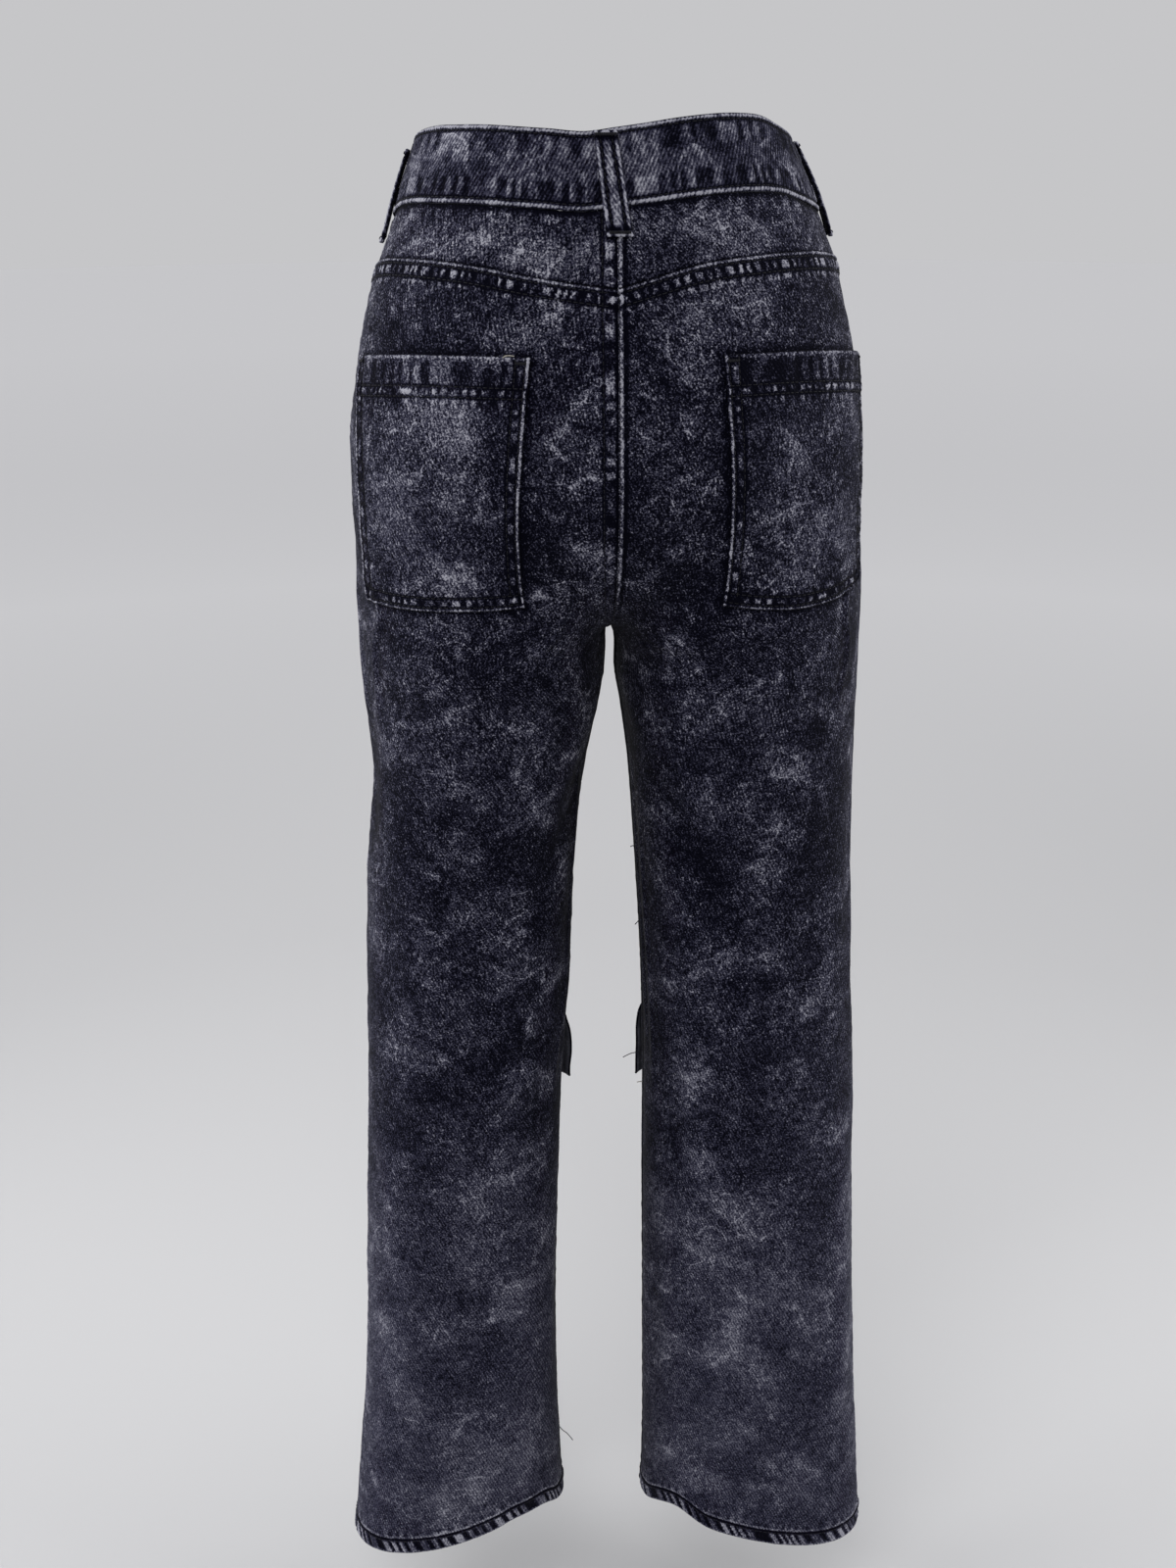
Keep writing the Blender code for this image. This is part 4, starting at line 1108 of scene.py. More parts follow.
def makeBackPocket(word):
    side = sides[word]
    spec = backPockets
    mouth = spec[word]["mouth"]
    foot = spec[word]["foot"]
    width = mouth[1] - mouth[0]
    depth = mouth[2] - foot[2]
    across = edgeSpacing(width, spec["cell"]) / width
    even = np.linspace(spec["mouthEnd"], depth - spec["footStart"], int(depth / spec["cell"]))
    downs = np.concatenate([spec["mouthLines"], even, depth - np.array(spec["footLines"])]) / depth
    across, down = np.meshgrid(across, downs)
    sag = np.sin(math.pi * across)
    mouthZ = mouth[2] + (mouth[3] - mouth[2]) * across - mouth[4] * sag
    footZ = foot[2] + (foot[3] - foot[2]) * across - foot[4] * sag
    z = mouthZ + (footZ - mouthZ) * down
    inner = mouth[0] + (foot[0] - mouth[0]) * down - spec["bow"] * np.sin(math.pi * down)
    outer = mouth[1] + (foot[1] - mouth[1]) * down
    length = halfLength(side, True, z.mean(axis=1))[:, None]
    share = 1 - (inner + (outer - inner) * across) / length
    fromInner = (outer - inner) * across
    fromOuter = (outer - inner) * (1 - across)
    fromMouth = mouthZ - z
    fromFoot = z - footZ
    middle = smoothStep(across / spec["edgeCalm"]) * smoothStep((1 - across) / spec["edgeCalm"])
    extra = spec["mouthGap"] * middle * np.exp(-fromMouth / spec["gapDepth"])
    beyond, soft = spec["hemEnd"]
    extra = extra + spec["hemRise"] * smoothStep((spec["hemDepth"] + beyond - fromMouth) / soft)
    line = spec["pressed"]
    pressed = fromFoot - line["above"] - line["bow"] * np.sin(math.pi * across * line["turns"])
    extra = extra - line["depth"] * bell(pressed, line["width"]) * middle
    waves = spec["waves"]
    extra = extra + waves["height"] * ripple(side * fromInner, z, waves["size"], waves["seed"])
    edges = [
        (fromInner, z, (spec["sideEdge"],), spec["rows"], True),
        (fromOuter, z, (spec["sideEdge"],), spec["rows"], True),
        (fromFoot, side * fromInner, (spec["footEdge"], spec["footInside"]), spec["rows"], False),
        (fromMouth, side * fromInner, (spec["mouthEdge"], spec["mouthAbove"], spec["mouthBelow"]), (), False),
    ]
    name = "backPocket" + word.capitalize()
    clouds = spec["clouds"]
    toneShift = clouds["amount"] * ripple(side * fromInner, z, clouds["size"], clouds["seed"] + side)
    rim = spec["darkRim"]
    inside = smoothStep(fromInner / rim["width"]) * smoothStep(fromOuter / rim["width"])
    toneShift = toneShift - rim["amount"] * (1 - inside * smoothStep(fromFoot / rim["width"]))
    points, normals = stitchedPatch(name, "topstitchSeat", side, True, share, z, spec["base"], edges,
                                    spec["ply"], extra, spec["wash"][word] + toneShift)
    onPocket = (fromInner > spec["rowStart"]) & (fromOuter > spec["rowStart"])
    for row in spec["mouthEdge"]["rows"]:
        threadRows["topstitchSeat"].append(traceLine(points, normals, fromMouth, row, onPocket))
    tack = spec["barTack"]
    for field in (fromInner, fromOuter):
        path, facing = traceColumn(points, normals, field, tack["in"])
        further = traceColumn(points, normals, field, tack["next"])[0]
        near = np.argmin(np.abs(fromMouth[:, 0] - tack["down"]))
        sideways = Vector(further[near] - path[near]).normalized()
        barTacks.append((path[near], facing[near], sideways, tack["width"]))


kneePockets = {
    "ply": 0.0013,
    "cell": 0.0026,
    "top": -0.614,
    "height": 0.190,
    "reach": (0.23, 0.83),
    "base": 0.0021,
    "sideEdge": seamStyle(rows=(0.0022, 0.0078), puffs=(0.0028, 0.0072), pitch=0.0090, puffWear=0.7, seed=81),
    "footEdge": seamStyle(rows=(0.0022, 0.0078), puffs=(0.0028, 0.0072), pitch=0.0080, seed=83),
}
kneeFlaps = {
    "ply": 0.0014,
    "cell": 0.0022,
    "top": -0.598,
    "height": 0.066,
    "reach": (0.19, 0.885),
    "base": 0.0028,
    "lift": 0.0028,
    "flare": {"left": 0.0128, "right": 0.0065},    # the inseam end stands off the leg
    "flareFrom": 0.6,
    "liftOver": 0.2,
    "edge": seamStyle(rows=(0.0024, 0.0080), puffs=(0.0030, 0.0074), pitch=0.0084, seed=87),
}


kneeWaves = {"height": 0.0003, "size": 0.035, "seed": 91}


def kneePatch(word, spec, name, freeEnd):
    side = sides[word]
    lengthTop = float(halfLength(side, False, spec["top"]))
    width = (spec["reach"][1] - spec["reach"][0]) * lengthTop
    across = edgeSpacing(width, spec["cell"]) / width
    down = edgeSpacing(spec["height"], spec["cell"]) / spec["height"]
    across, down = np.meshgrid(across, down)
    share = spec["reach"][0] + (spec["reach"][1] - spec["reach"][0]) * across
    z = spec["top"] - spec["height"] * down
    length = halfLength(side, False, z)
    fromOuter = (share - spec["reach"][0]) * length
    fromInner = (spec["reach"][1] - share) * length
    fromTop = spec["top"] - z
    fromFoot = spec["height"] - fromTop
    extra = kneeWaves["height"] * ripple(side * fromOuter, z, kneeWaves["size"], kneeWaves["seed"])
    if freeEnd:
        end = np.clip((share - spec["flareFrom"]) / (spec["reach"][1] - spec["flareFrom"]), 0, 1)
        flare = spec["flare"][word] * end ** 2 * (1 - (1 - down) ** 3)
        extra = extra + spec["lift"] * np.clip(down / spec["liftOver"], 0, 1) + flare
        looks = [spec["edge"]] * 4
    else:
        looks = [spec["sideEdge"], spec["sideEdge"], spec["footEdge"], spec["sideEdge"]]
    edges = [
        (fromOuter, z, (looks[0],), looks[0]["rows"], True),
        (fromInner, z, (looks[1],), looks[1]["rows"], True),
        (fromFoot, side * fromOuter, (looks[2],), looks[2]["rows"], False),
        (fromTop, side * fromOuter, (looks[3],), looks[3]["rows"] if freeEnd else (), False),
    ]
    stitchedPatch(name, "topstitchFront", side, False, share, z, spec["base"], edges, spec["ply"], extra)


beltLoops = {
    "width": 0.0138,
    "ply": 0.0020,
    "base": 0.0031,
    # where each stands around the waist, how far its foot leans towards the side, how far below the edge
    # of the waistband it starts, its length, and how far its middle stands off
    "columns": ("side", "around", "lean", "drop", "length", "bow"),
    # relief, wear and painted shade beside the long edges and the ends: amount, distance, half width;
    # the dark lines are painted shade in the grooves and at the rolled edges
    "edgeRelief": [(0.0005, 0.0014, 0.0010), (-0.0006, 0, 0.0006), (-0.0004, 0.0034, 0.0008),
                   (0.0003, 0.0064, 0.0018)],
    "endRelief": [(-0.0004, 0.0036, 0.0010), (0.0002, 0.0012, 0.0012)],
    "edgeWear": [(1.5, 0.0013, 0.0009), (-2.2, 0.0034, 0.0009), (1.0, 0.0066, 0.0020)],
    "edgeDark": [(-1.0, 0, 0.0004)],
    "endWearAndShade": [(1.2, 0.0012, 0.0010), (-2.6, 0.0040, 0.0011)],
    "frontRise": 0.0004,
    "bowPower": 0.7,
    "rope": {"even": 0.7, "swing": 0.3, "pitch": 0.0046, "seed": 93},
    "wash": 0.5,
    "row": 0.0034,
    "tackShare": 0.86,
    "tackLine": 3,
    # distances of the grid's lines from the long edges and from the ends
    "edgeLines": [0, 0.0004, 0.0009, 0.0014, 0.0020, 0.0026, 0.0032, 0.0039, 0.0047, 0.0057],
    "endLines": [0, 0.0005, 0.0012, 0.0022],
    "evenLines": (0.0036, 0.0048, 40),
    "places": {
        "beltLoopBack": (left, 0.981, 0.008, 0.0010, 0.056, 0.0014),
        "beltLoopSideLeft": (left, 0.500, 0.0, 0.0055, 0.053, 0.0004),
        "beltLoopSideRight": (right, 0.510, 0.0, 0.0025, 0.054, 0.0014),
        "beltLoopFrontLeft": (left, 0.260, 0.0, 0.0010, 0.055, 0.0014),
        "beltLoopFrontRight": (right, 0.260, 0.0, 0.0010, 0.055, 0.0014),
    },
}


def makeBeltLoop(name, place):
    spec = beltLoops
    fold = np.array(spec["edgeLines"])
    fromEdge = np.concatenate([fold, [spec["width"] / 2], spec["width"] - fold[::-1]])
    start, end, count = spec["evenLines"]
    even = np.linspace(start, place["length"] - end, count)
    foot = place["length"] - np.array([start] + spec["endLines"][::-1])
    down = np.concatenate([spec["endLines"], even, foot])[:, None]
    part = down / place["length"]
    side = place["side"]
    back = place["around"] > 0.5
    length = float(halfLength(side, back, waistband["middle"]))
    fromMiddle = (fromEdge - spec["width"] / 2)[None, :]
    offset = abs(place["around"] - 0.5) * 2 * length + fromMiddle + place["lean"] * part
    share = offset / length
    # a strip that crosses the side seam or the centre seam goes on round the other piece
    behind = np.where(share < 0, not back, back)
    sideAll = np.where(share > 1, -side, side)
    share = np.where(share > 1, 2 - share, np.abs(share))
    top = float(waistHeight(side, np.array([place["around"]]))[0]) - place["drop"]
    z = top - down + 0 * share
    edge = np.minimum(fromEdge, spec["width"] - fromEdge)[None, :] + 0 * z
    ends = np.minimum(down, place["length"] - down) + 0 * z
    height = spec["base"] + place["bow"] * np.sin(math.pi * np.clip(part, 0, 1)) ** spec["bowPower"] + 0 * z
    if not back:
        height = height + spec["frontRise"]
    height = addLines(height, edge, spec["edgeRelief"])
    height = addLines(height, ends, spec["endRelief"])
    rope = spec["rope"]
    lively = rope["even"] + rope["swing"] * puckers(z, rope["pitch"], rope["seed"])
    # pale worn ridges on the long edges, and painted shade at the rolled edges, in the stitch grooves and
    # across the ends
    wearAndShade = addLines(0, edge, spec["edgeWear"]) * lively
    wearAndShade = addLines(wearAndShade, edge, spec["edgeDark"])
    wearAndShade = addLines(wearAndShade, ends, spec["endWearAndShade"])
    points, normals = skin(sideAll, behind, share, z, height)
    across = fromEdge[None, :] + 0 * z
    way = side * (1 if back else -1)
    clothPiece(name, points, normals, way * across, z, wearAndShade, spec["wash"] + 0 * z, spec["ply"])
    for level in (spec["row"], spec["width"] - spec["row"]):
        threadRows["topstitchSeat"].append(traceColumn(points, normals, across, level))
    for row in (spec["tackLine"], len(down) - 1 - spec["tackLine"]):
        centre = len(fromEdge) // 2
        sideways = Vector(points[row, -1] - points[row, 0]).normalized()
        width = spec["width"] * spec["tackShare"]
        barTacks.append((points[row, centre], normals[row, centre], sideways, width))


flyPlacket = {
    "ply": 0.0013,
    "width": 0.036,
    "length": 0.165,
    "lap": 0.004,
    "base": 0.0024,
    "cells": (0.0018, 0.0020),
    "narrowing": {"from": 0.6, "amount": 0.7},    # the curve of its lower end
    "wash": 0.2,
    "edge": seamStyle(rows=(0.0022, 0.0078), puffs=(0.0028, 0.0072), pitch=0.0084, seed=97),
}


def makeFly():
    spec = flyPlacket
    total = spec["width"] + spec["lap"]
    across = edgeSpacing(total, spec["cells"][0]) - spec["lap"]
    top = float(waistHeight(left, np.array([0.0]))[0]) - waistband["height"]
    down = edgeSpacing(spec["length"], spec["cells"][1])
    across, down = np.meshgrid(across, down)
    z = top - down
    curve = spec["narrowing"]
    low = np.clip((down / spec["length"] - curve["from"]) / (1 - curve["from"]), 0, 1)
    narrowing = np.where(across > 0, 1 - curve["amount"] * low ** 2, 1.0)
    place = across * narrowing
    side = np.where(across < 0, right, left)
    share = 1 - np.abs(place) / halfLength(left, np.full(z.shape, False), z)
    fromRight = place + spec["lap"]
    fromLeft = spec["width"] * narrowing - place
    fromFoot = spec["length"] - down
    folds = np.where(side == left, drape(left, False, share, z), drape(right, False, share, z))
    height = folds + spec["base"]
    wearAndShade = np.zeros(z.shape)
    for field, along in ((fromRight, z), (fromLeft, z), (fromFoot, place)):
        height, wearAndShade = sewn(height, wearAndShade, field, along, spec["edge"])
    points, normals = skin(side, False, share, z, height)
    clothPiece("flyCloth", points, normals, -place, z, wearAndShade, spec["wash"] + 0 * z, spec["ply"])
    for level in spec["edge"]["rows"]:
        keep = fromFoot > level
        threadRows["topstitchFront"].append(traceColumn(points, normals, -fromLeft, -level, keep))
    line = traceColumn(points, normals, fromRight, spec["edge"]["rows"][0])
    threadRows["topstitchFront"].append(line)


for word in sides:
    legPanel("backPanel" + word.capitalize(), word, True)
    legPanel("frontPanel" + word.capitalize(), word, False)
print("leg panels ready")
makeWaistband()
for word in sides:
    makeYoke(word)
    makeBackPocket(word)
    kneePatch(word, kneePockets, "cargoPocket" + word.capitalize(), False)
    kneePatch(word, kneeFlaps, "cargoFlap" + word.capitalize(), True)
for loopName, place in beltLoops["places"].items():
    makeBeltLoop(loopName, dict(zip(beltLoops["columns"], place)))
makeFly()
print("small pieces ready")


# topstitching: every stitch is a short bowed length of thread that dips into the cloth at both ends
stitching = {
    "pitch": 0.0036,
    "length": 0.0029,
    "radius": 0.00030,
    "sides": 5,
    "dip": 0.0003,
    "proud": 0.00008,
    "firstAt": 0.001,
    "spare": 0.004,            # length of a seam left without stitches
    "uneven": 0.0002,
    "lengths": (0.92, 1.06),
    "longest": 1.4,
    "barTack": {"pitch": 0.00048, "proud": 0.0003, "halfLength": 0.0009, "lean": 0.00012},
}


def stitchRow(path, facing, seed):
    rng = np.random.default_rng(seed)
    along = np.concatenate([[0], np.cumsum(np.linalg.norm(np.diff(path, axis=0), axis=1))])
    count = int((along[-1] - stitching["spare"]) / stitching["pitch"])
    uneven = rng.uniform(-stitching["uneven"], stitching["uneven"], count)
    begin = stitching["firstAt"] + np.arange(count) * stitching["pitch"] + uneven
    finish = begin + stitching["length"] * rng.uniform(*stitching["lengths"], count)
    start, end, normal = [np.stack([np.interp(place, along, line[:, k]) for k in range(3)], axis=1)
                          for place, line in ((begin, path), (finish, path), (begin, facing))]
    close = np.linalg.norm(end - start, axis=1) < stitching["longest"] * stitching["length"]
    return start[close], end[close], normal[close]


def barTackRow(centre, facing, sideways, width):
    # a dense block of short stitches across a strip
    tack = stitching["barTack"]
    count = int(width / tack["pitch"])
    sideways = np.array(sideways)
    up = np.cross(facing, sideways)
    up = up / np.linalg.norm(up)
    places = (np.arange(count) / (count - 1) - 0.5)[:, None] * width
    middle = centre + places * sideways + tack["proud"] * facing
    lean = np.where(np.arange(count) % 2, 1, -1)[:, None] * tack["lean"] * sideways
    half = tack["halfLength"] * up
    return middle - half - lean, middle + half + lean, np.tile(facing, (count, 1))


def threadMesh(name, rows):
    start, end, normal = [np.concatenate(part) for part in zip(*rows)]
    normal = normal / np.linalg.norm(normal, axis=1)[:, None]
    run = end - start
    sideways = np.cross(normal, run)
    sideways = sideways / np.linalg.norm(sideways, axis=1)[:, None]
    count = len(start)
    corners = stitching["sides"]
    rings = []
    for part, size, lift in ((0.0, 0.5, -stitching["dip"]), (0.16, 1.0, stitching["proud"]),
                             (0.84, 1.0, stitching["proud"]), (1.0, 0.5, -stitching["dip"])):
        centre = start + run * part + normal * lift
        for k in range(corners):
            angle = 2 * math.pi * k / corners
            spoke = math.cos(angle) * sideways + math.sin(angle) * normal
            rings.append(centre + stitching["radius"] * size * spoke)
    verts = np.stack(rings, axis=1).reshape(-1, 3)
    first = np.arange(count)[:, None] * 4 * corners
    faces = []
    for ring in range(3):
        for k in range(corners):
            a = ring * corners + k
            b = ring * corners + (k + 1) % corners
            faces.append(first + np.array([[a, b, b + corners, a + corners]]))
    faces = np.concatenate(faces).tolist()
    faces += (first + np.arange(corners)[::-1]).tolist()
    faces += (first + 3 * corners + np.arange(corners)).tolist()
    mesh = bpy.data.meshes.new(name)
    mesh.from_pydata(verts.tolist(), [], faces)
    mesh.shade_smooth()
    return addObject(name, mesh)


threads = {}
for group, rows in threadRows.items():
    made = [stitchRow(path, facing, 200 + i) for i, (path, facing) in enumerate(rows) if len(path) > 3]
    threads[group] = threadMesh(group, made)
threads["barTacks"] = threadMesh("barTacks", [barTackRow(*tack) for tack in barTacks])
print("stitches ready")

# loose thread ends: their yarn and where each leaves the cloth, then how it hangs, in millimetres
looseEnds = [
    ("pale", left, 0.690, -0.1222, [(1, 3, 1), (-2, 4, 3), (-6, 3, 2)]),
    ("black", right, 0.985, -0.626, [(5, 1, -1), (9, 2, -1), (14, 2, -4)]),
    ("black", right, 0.950, -0.463, [(1, 1, 2), (3, 2, 1)]),
    ("black", right, 0.950, -0.518, [(1, 1, -1), (3, 1, -3)]),
    ("pale", right, 0.985, -0.652, [(1, 1, 1), (4, 2, 1)]),
    ("black", left, 0.945, -0.958, [(-2, 2, -2), (-6, 3, -4), (-10, 3, -11)]),
]
looseThread = {"off": 0.0008, "radius": 0.00032}
for number, (yarnColour, side, share, z, path) in enumerate(looseEnds):
    root = skin(side, True, np.array([share]), z, looseThread["off"])[0]
    curve = bpy.data.curves.new("looseThread%d" % number, "CURVE")
    curve.dimensions = "3D"
    curve.bevel_depth = looseThread["radius"]
    curve.bevel_resolution = 2
    curve.use_fill_caps = True
    line = curve.splines.new("NURBS")
    stops = [Vector(root[0])] + [Vector(root[0]) + Vector(stop) / 1000 for stop in path]
    line.points.add(len(stops) - 1)
    for point, stop in zip(line.points, stops):
        point.co = (*stop, 1)
    line.use_endpoint_u = True
    line.order_u = 3
    threads[curve.name] = addObject(curve.name, curve)

waistButton = {
    "profile": [(0.0, 0.0), (0.0078, 0.0), (0.0084, 0.0006), (0.0085, 0.0016), (0.0080, 0.0026),
                (0.0071, 0.0030), (0.0066, 0.0027), (0.0060, 0.0028), (0.0040, 0.0036), (0.0018, 0.0040),
                (0.0, 0.0041)],
    "steps": 48,
    "fromEdge": 0.004,
    "gap": 0.0003,
    "level": -0.03,    # where the length round the front is measured
}
bm = bmesh.new()
corners = [bm.verts.new((radius, 0, height)) for radius, height in waistButton["profile"]]
outline = [bm.edges.new(pair) for pair in zip(corners, corners[1:])]
bmesh.ops.spin(bm, geom=corners + outline, cent=(0, 0, 0), axis=(0, 0, 1), angle=2 * math.pi,
               steps=waistButton["steps"], use_merge=True)
bmesh.ops.remove_doubles(bm, verts=bm.verts, dist=0.00001)
buttonShare = 1 - waistButton["fromEdge"] / float(halfLength(right, False, waistButton["level"]))
buttonHeight = float(waistHeight(right, np.array([0.0]))[0]) - waistband["height"] / 2
lift = waistband["out"] + waistband["overlapLift"] + waistButton["gap"]
seat, facing = skin(right, False, np.array([buttonShare]), buttonHeight, lift)
turn = Vector(facing[0]).to_track_quat("Z", "Y").to_matrix().to_4x4()
bmesh.ops.transform(bm, matrix=Matrix.Translation(Vector(seat[0])) @ turn, verts=bm.verts)
bmesh.ops.recalc_face_normals(bm, faces=bm.faces)
mesh = bpy.data.meshes.new("waistButtonMetal")
bm.to_mesh(mesh)
bm.free()
mesh.shade_smooth()
button = addObject("waistButtonMetal", mesh)


# materials
def hexColour(text):
    parts = [int(text[i:i + 2], 16) / 255 for i in (1, 3, 5)]
    return [p / 12.92 if p <= 0.04045 else ((p + 0.055) / 1.055) ** 2.4 for p in parts] + [1]


def addNode(tree, kind, settings, links):
    node = tree.nodes.new(kind)
    for name, value in settings.items():
        if isinstance(name, int) or name in node.inputs:
            node.inputs[name].default_value = value
        else:
            setattr(node, name, value)
    for name, socket in links.items():
        tree.links.new(socket, node.inputs[name])
    return node


def setInputs(shader, values):
    for name, value in values.items():
        shader.inputs[name].default_value = value


def newMaterial(name):
    made = bpy.data.materials.new(name)
    made.use_nodes = True
    tree = made.node_tree
    return made, tree, tree.nodes["Principled BSDF"]


def addTerms(tree, start, terms):
    # start + weight * (socket - middle) + ...
    total = None
    for socket, weight, middle in terms:
        start = start - weight * middle
        if total is None:
            settings = {"operation": "MULTIPLY", 1: weight}
            total = addNode(tree, "ShaderNodeMath", settings, {0: socket}).outputs[0]
        else:
            settings = {"operation": "MULTIPLY_ADD", 1: weight}
            total = addNode(tree, "ShaderNodeMath", settings, {0: socket, 2: total}).outputs[0]
    return addNode(tree, "ShaderNodeMath", {"operation": "ADD", 1: start}, {0: total}).outputs[0]


def colourSteps(tree, value, steps):
    ramp = addNode(tree, "ShaderNodeValToRGB", {}, {0: value})
    elements = ramp.color_ramp.elements
    while len(elements) < len(steps):
        elements.new(0.5)
    for element, (place, colour) in zip(elements, steps):
        element.position = place
        element.color = hexColour(colour)
    return ramp.outputs[0]


denimLook = {
    "steps": [(0.06, "#000008"), (0.18, "#090914"), (0.32, "#171725"), (0.45, "#252534"), (0.62, "#3d3d4a"),
              (0.80, "#5e5e69"), (0.93, "#7a7a84"), (1.0, "#8b8b94")],
    "cloudSize": 0.040,      # metres
    "blotchSize": 0.014,
    "speckSize": 0.0026,
    "grainSize": 0.0011,
    "streakSize": (0.0014, 0.0060),
    "scratches": {"size": 0.019, "crest": (0.88, 0.98), "weight": 0.34, "middle": 0.05},
    "crumples": {"size": 0.042, "crest": (0.66, 0.98), "weight": 0.20, "middle": 0.2},
    "lineBreaks": (0.46, 0.60),
    "clouds": 1.00,
    "blotches": 1.10,
    "specks": 1.00,
    "streaks": 0.80,
    "base": 0.32,
    "wash": 0.24,
    "wearAndShade": 0.42,
    "twillPitch": 0.0021,    # real wales are 1.1 mm apart: drawn coarser, so that they show
    "twillSlope": 63,
    "wales": 0.09,
    "grain": 2.8,
}
crosswiseLook = dict(denimLook, wales=0.15, grain=1.2)


def crestLines(tree, look, place, mask):
    # lines along the crests of a ridged noise, broken into short pieces by another noise
    settings = {"noise_type": "RIDGED_MULTIFRACTAL", "Scale": 1 / look["size"], "Detail": 0, "Offset": 1.0,
                "Distortion": 0.6}
    crests = addNode(tree, "ShaderNodeTexNoise", settings, {"Vector": place}).outputs[0]
    found = []
    for (low, high), value in ((look["crest"], crests), (denimLook["lineBreaks"], mask)):
        limits = {"From Min": low, "From Max": high}
        found.append(addNode(tree, "ShaderNodeMapRange", limits, {"Value": value}).outputs[0])
    return addNode(tree, "ShaderNodeMath", {"operation": "MULTIPLY"}, dict(enumerate(found))).outputs[0]


def acidWashedTwill(name, look):
    # acid-washed 3/1 twill denim: near-black warp, bleached in clouds and scratches, worn pale on every
    # ridge and puff, dark between the puffs, with fine diagonal wales; painted shade darkens its grooves,
    # rolled edges and the lines where pieces meet
    made, tree, shader = newMaterial(name)
    place = addNode(tree, "ShaderNodeTexCoord", {}, {}).outputs["Object"]
    flat = addNode(tree, "ShaderNodeUVMap", {"uv_map": "clothUv"}, {}).outputs[0]
    wearAndShade = addNode(tree, "ShaderNodeAttribute", {"attribute_name": "wearAndShade"}, {}).outputs["Fac"]
    wash = addNode(tree, "ShaderNodeAttribute", {"attribute_name": "wash"}, {}).outputs["Fac"]
    wide, tall = look["streakSize"]
    stretch = addNode(tree, "ShaderNodeMapping", {"Scale": (1 / wide, 1 / tall, 1)}, {"Vector": flat})
    clouds, blotches, specks, grain, streaks = [
        addNode(tree, "ShaderNodeTexNoise", settings, {"Vector": where}).outputs[0] for where, settings in (
            (place, {"Scale": 1 / look["cloudSize"], "Detail": 4, "Roughness": 0.6, "Distortion": 0.5}),
            (place, {"Scale": 1 / look["blotchSize"], "Detail": 4, "Roughness": 0.65, "Distortion": 2.6}),
            (place, {"Scale": 1 / look["speckSize"], "Detail": 3, "Roughness": 0.6, "Distortion": 1.5}),
            (place, {"Scale": 1 / look["grainSize"], "Detail": 2, "Roughness": 0.7}),
            (stretch.outputs[0], {"Scale": 1.0, "Detail": 2, "Roughness": 0.6}),
        )]
    scratches = crestLines(tree, look["scratches"], place, clouds)
    crumples = crestLines(tree, look["crumples"], place, clouds)
    # wales
    axes = addNode(tree, "ShaderNodeSeparateXYZ", {}, {0: flat})
    slope = math.radians(look["twillSlope"])
    turnRate = 2 * math.pi / look["twillPitch"]
    phase = addTerms(tree, 0.0, [(axes.outputs["X"], math.sin(slope) * turnRate, 0),
                                 (axes.outputs["Y"], math.cos(slope) * turnRate, 0), (specks, 2.0, 0.5)])
    wales = addNode(tree, "ShaderNodeMath", {"operation": "SINE"}, {0: phase}).outputs[0]
    # the mottling is strongest in the dark cloth, and softer where it is washed paler and down the legs
    terms = [(clouds, look["clouds"], 0.5), (blotches, look["blotches"], 0.5), (specks, look["specks"], 0.5),
             (grain, look["grain"], 0.5), (streaks, look["streaks"], 0.5)]
    for lines, kind in ((scratches, "scratches"), (crumples, "crumples")):
        terms.append((lines, look[kind]["weight"], look[kind]["middle"]))
    mottling = addTerms(tree, 0.0, terms)
    up = addNode(tree, "ShaderNodeSeparateXYZ", {}, {0: place}).outputs["Z"]
    evenness = addTerms(tree, 1.0, [(wash, -0.2, 0), (up, 0.40, -0.15)])
    both = {0: mottling, 1: evenness}
    mottling = addNode(tree, "ShaderNodeMath", {"operation": "MULTIPLY"}, both).outputs[0]
    # the attribute brings in real wear and painted shade
    value = addTerms(tree, look["base"], [(mottling, 1.0, 0), (wales, look["wales"], 0),
                                          (wash, look["wash"], 0), (wearAndShade, look["wearAndShade"], 0)])
    tree.links.new(colourSteps(tree, value, look["steps"]), shader.inputs["Base Color"])
    relief = addTerms(tree, 0.0, [(wales, 0.30, 0), (streaks, 0.6, 0), (grain, 0.8, 0)])
    bump = addNode(tree, "ShaderNodeBump", {"Strength": 0.5, "Distance": 0.0004}, {"Height": relief})
    tree.links.new(bump.outputs[0], shader.inputs["Normal"])
    setInputs(shader, {"Roughness": 0.95, "Specular IOR Level": 0.06, "Sheen Weight": 0.025,
                       "Sheen Roughness": 0.4})
    return made


def wrongSideTwill():
    # the wrong side of the twill: the pale weft shows, so it is greyer and flatter than the face
    made, tree, shader = newMaterial("wrong side of washed twill denim")
    place = addNode(tree, "ShaderNodeTexCoord", {}, {}).outputs["Object"]
    blotches = addNode(tree, "ShaderNodeTexNoise", {"Scale": 60, "Detail": 5, "Roughness": 0.6},
                       {"Vector": place}).outputs[0]
    grain = addNode(tree, "ShaderNodeTexNoise", {"Scale": 700, "Detail": 1}, {"Vector": place}).outputs[0]
    value = addTerms(tree, 0.45, [(blotches, 1.2, 0.5), (grain, 0.6, 0.5)])
    steps = [(0.1, "#2c2d35"), (0.5, "#44454e"), (0.9, "#6a6a73")]
    tree.links.new(colourSteps(tree, value, steps), shader.inputs["Base Color"])
    bump = addNode(tree, "ShaderNodeBump", {"Strength": 0.4, "Distance": 0.0004}, {"Height": grain})
    tree.links.new(bump.outputs[0], shader.inputs["Normal"])
    setInputs(shader, {"Roughness": 0.95, "Specular IOR Level": 0.2})
    return made


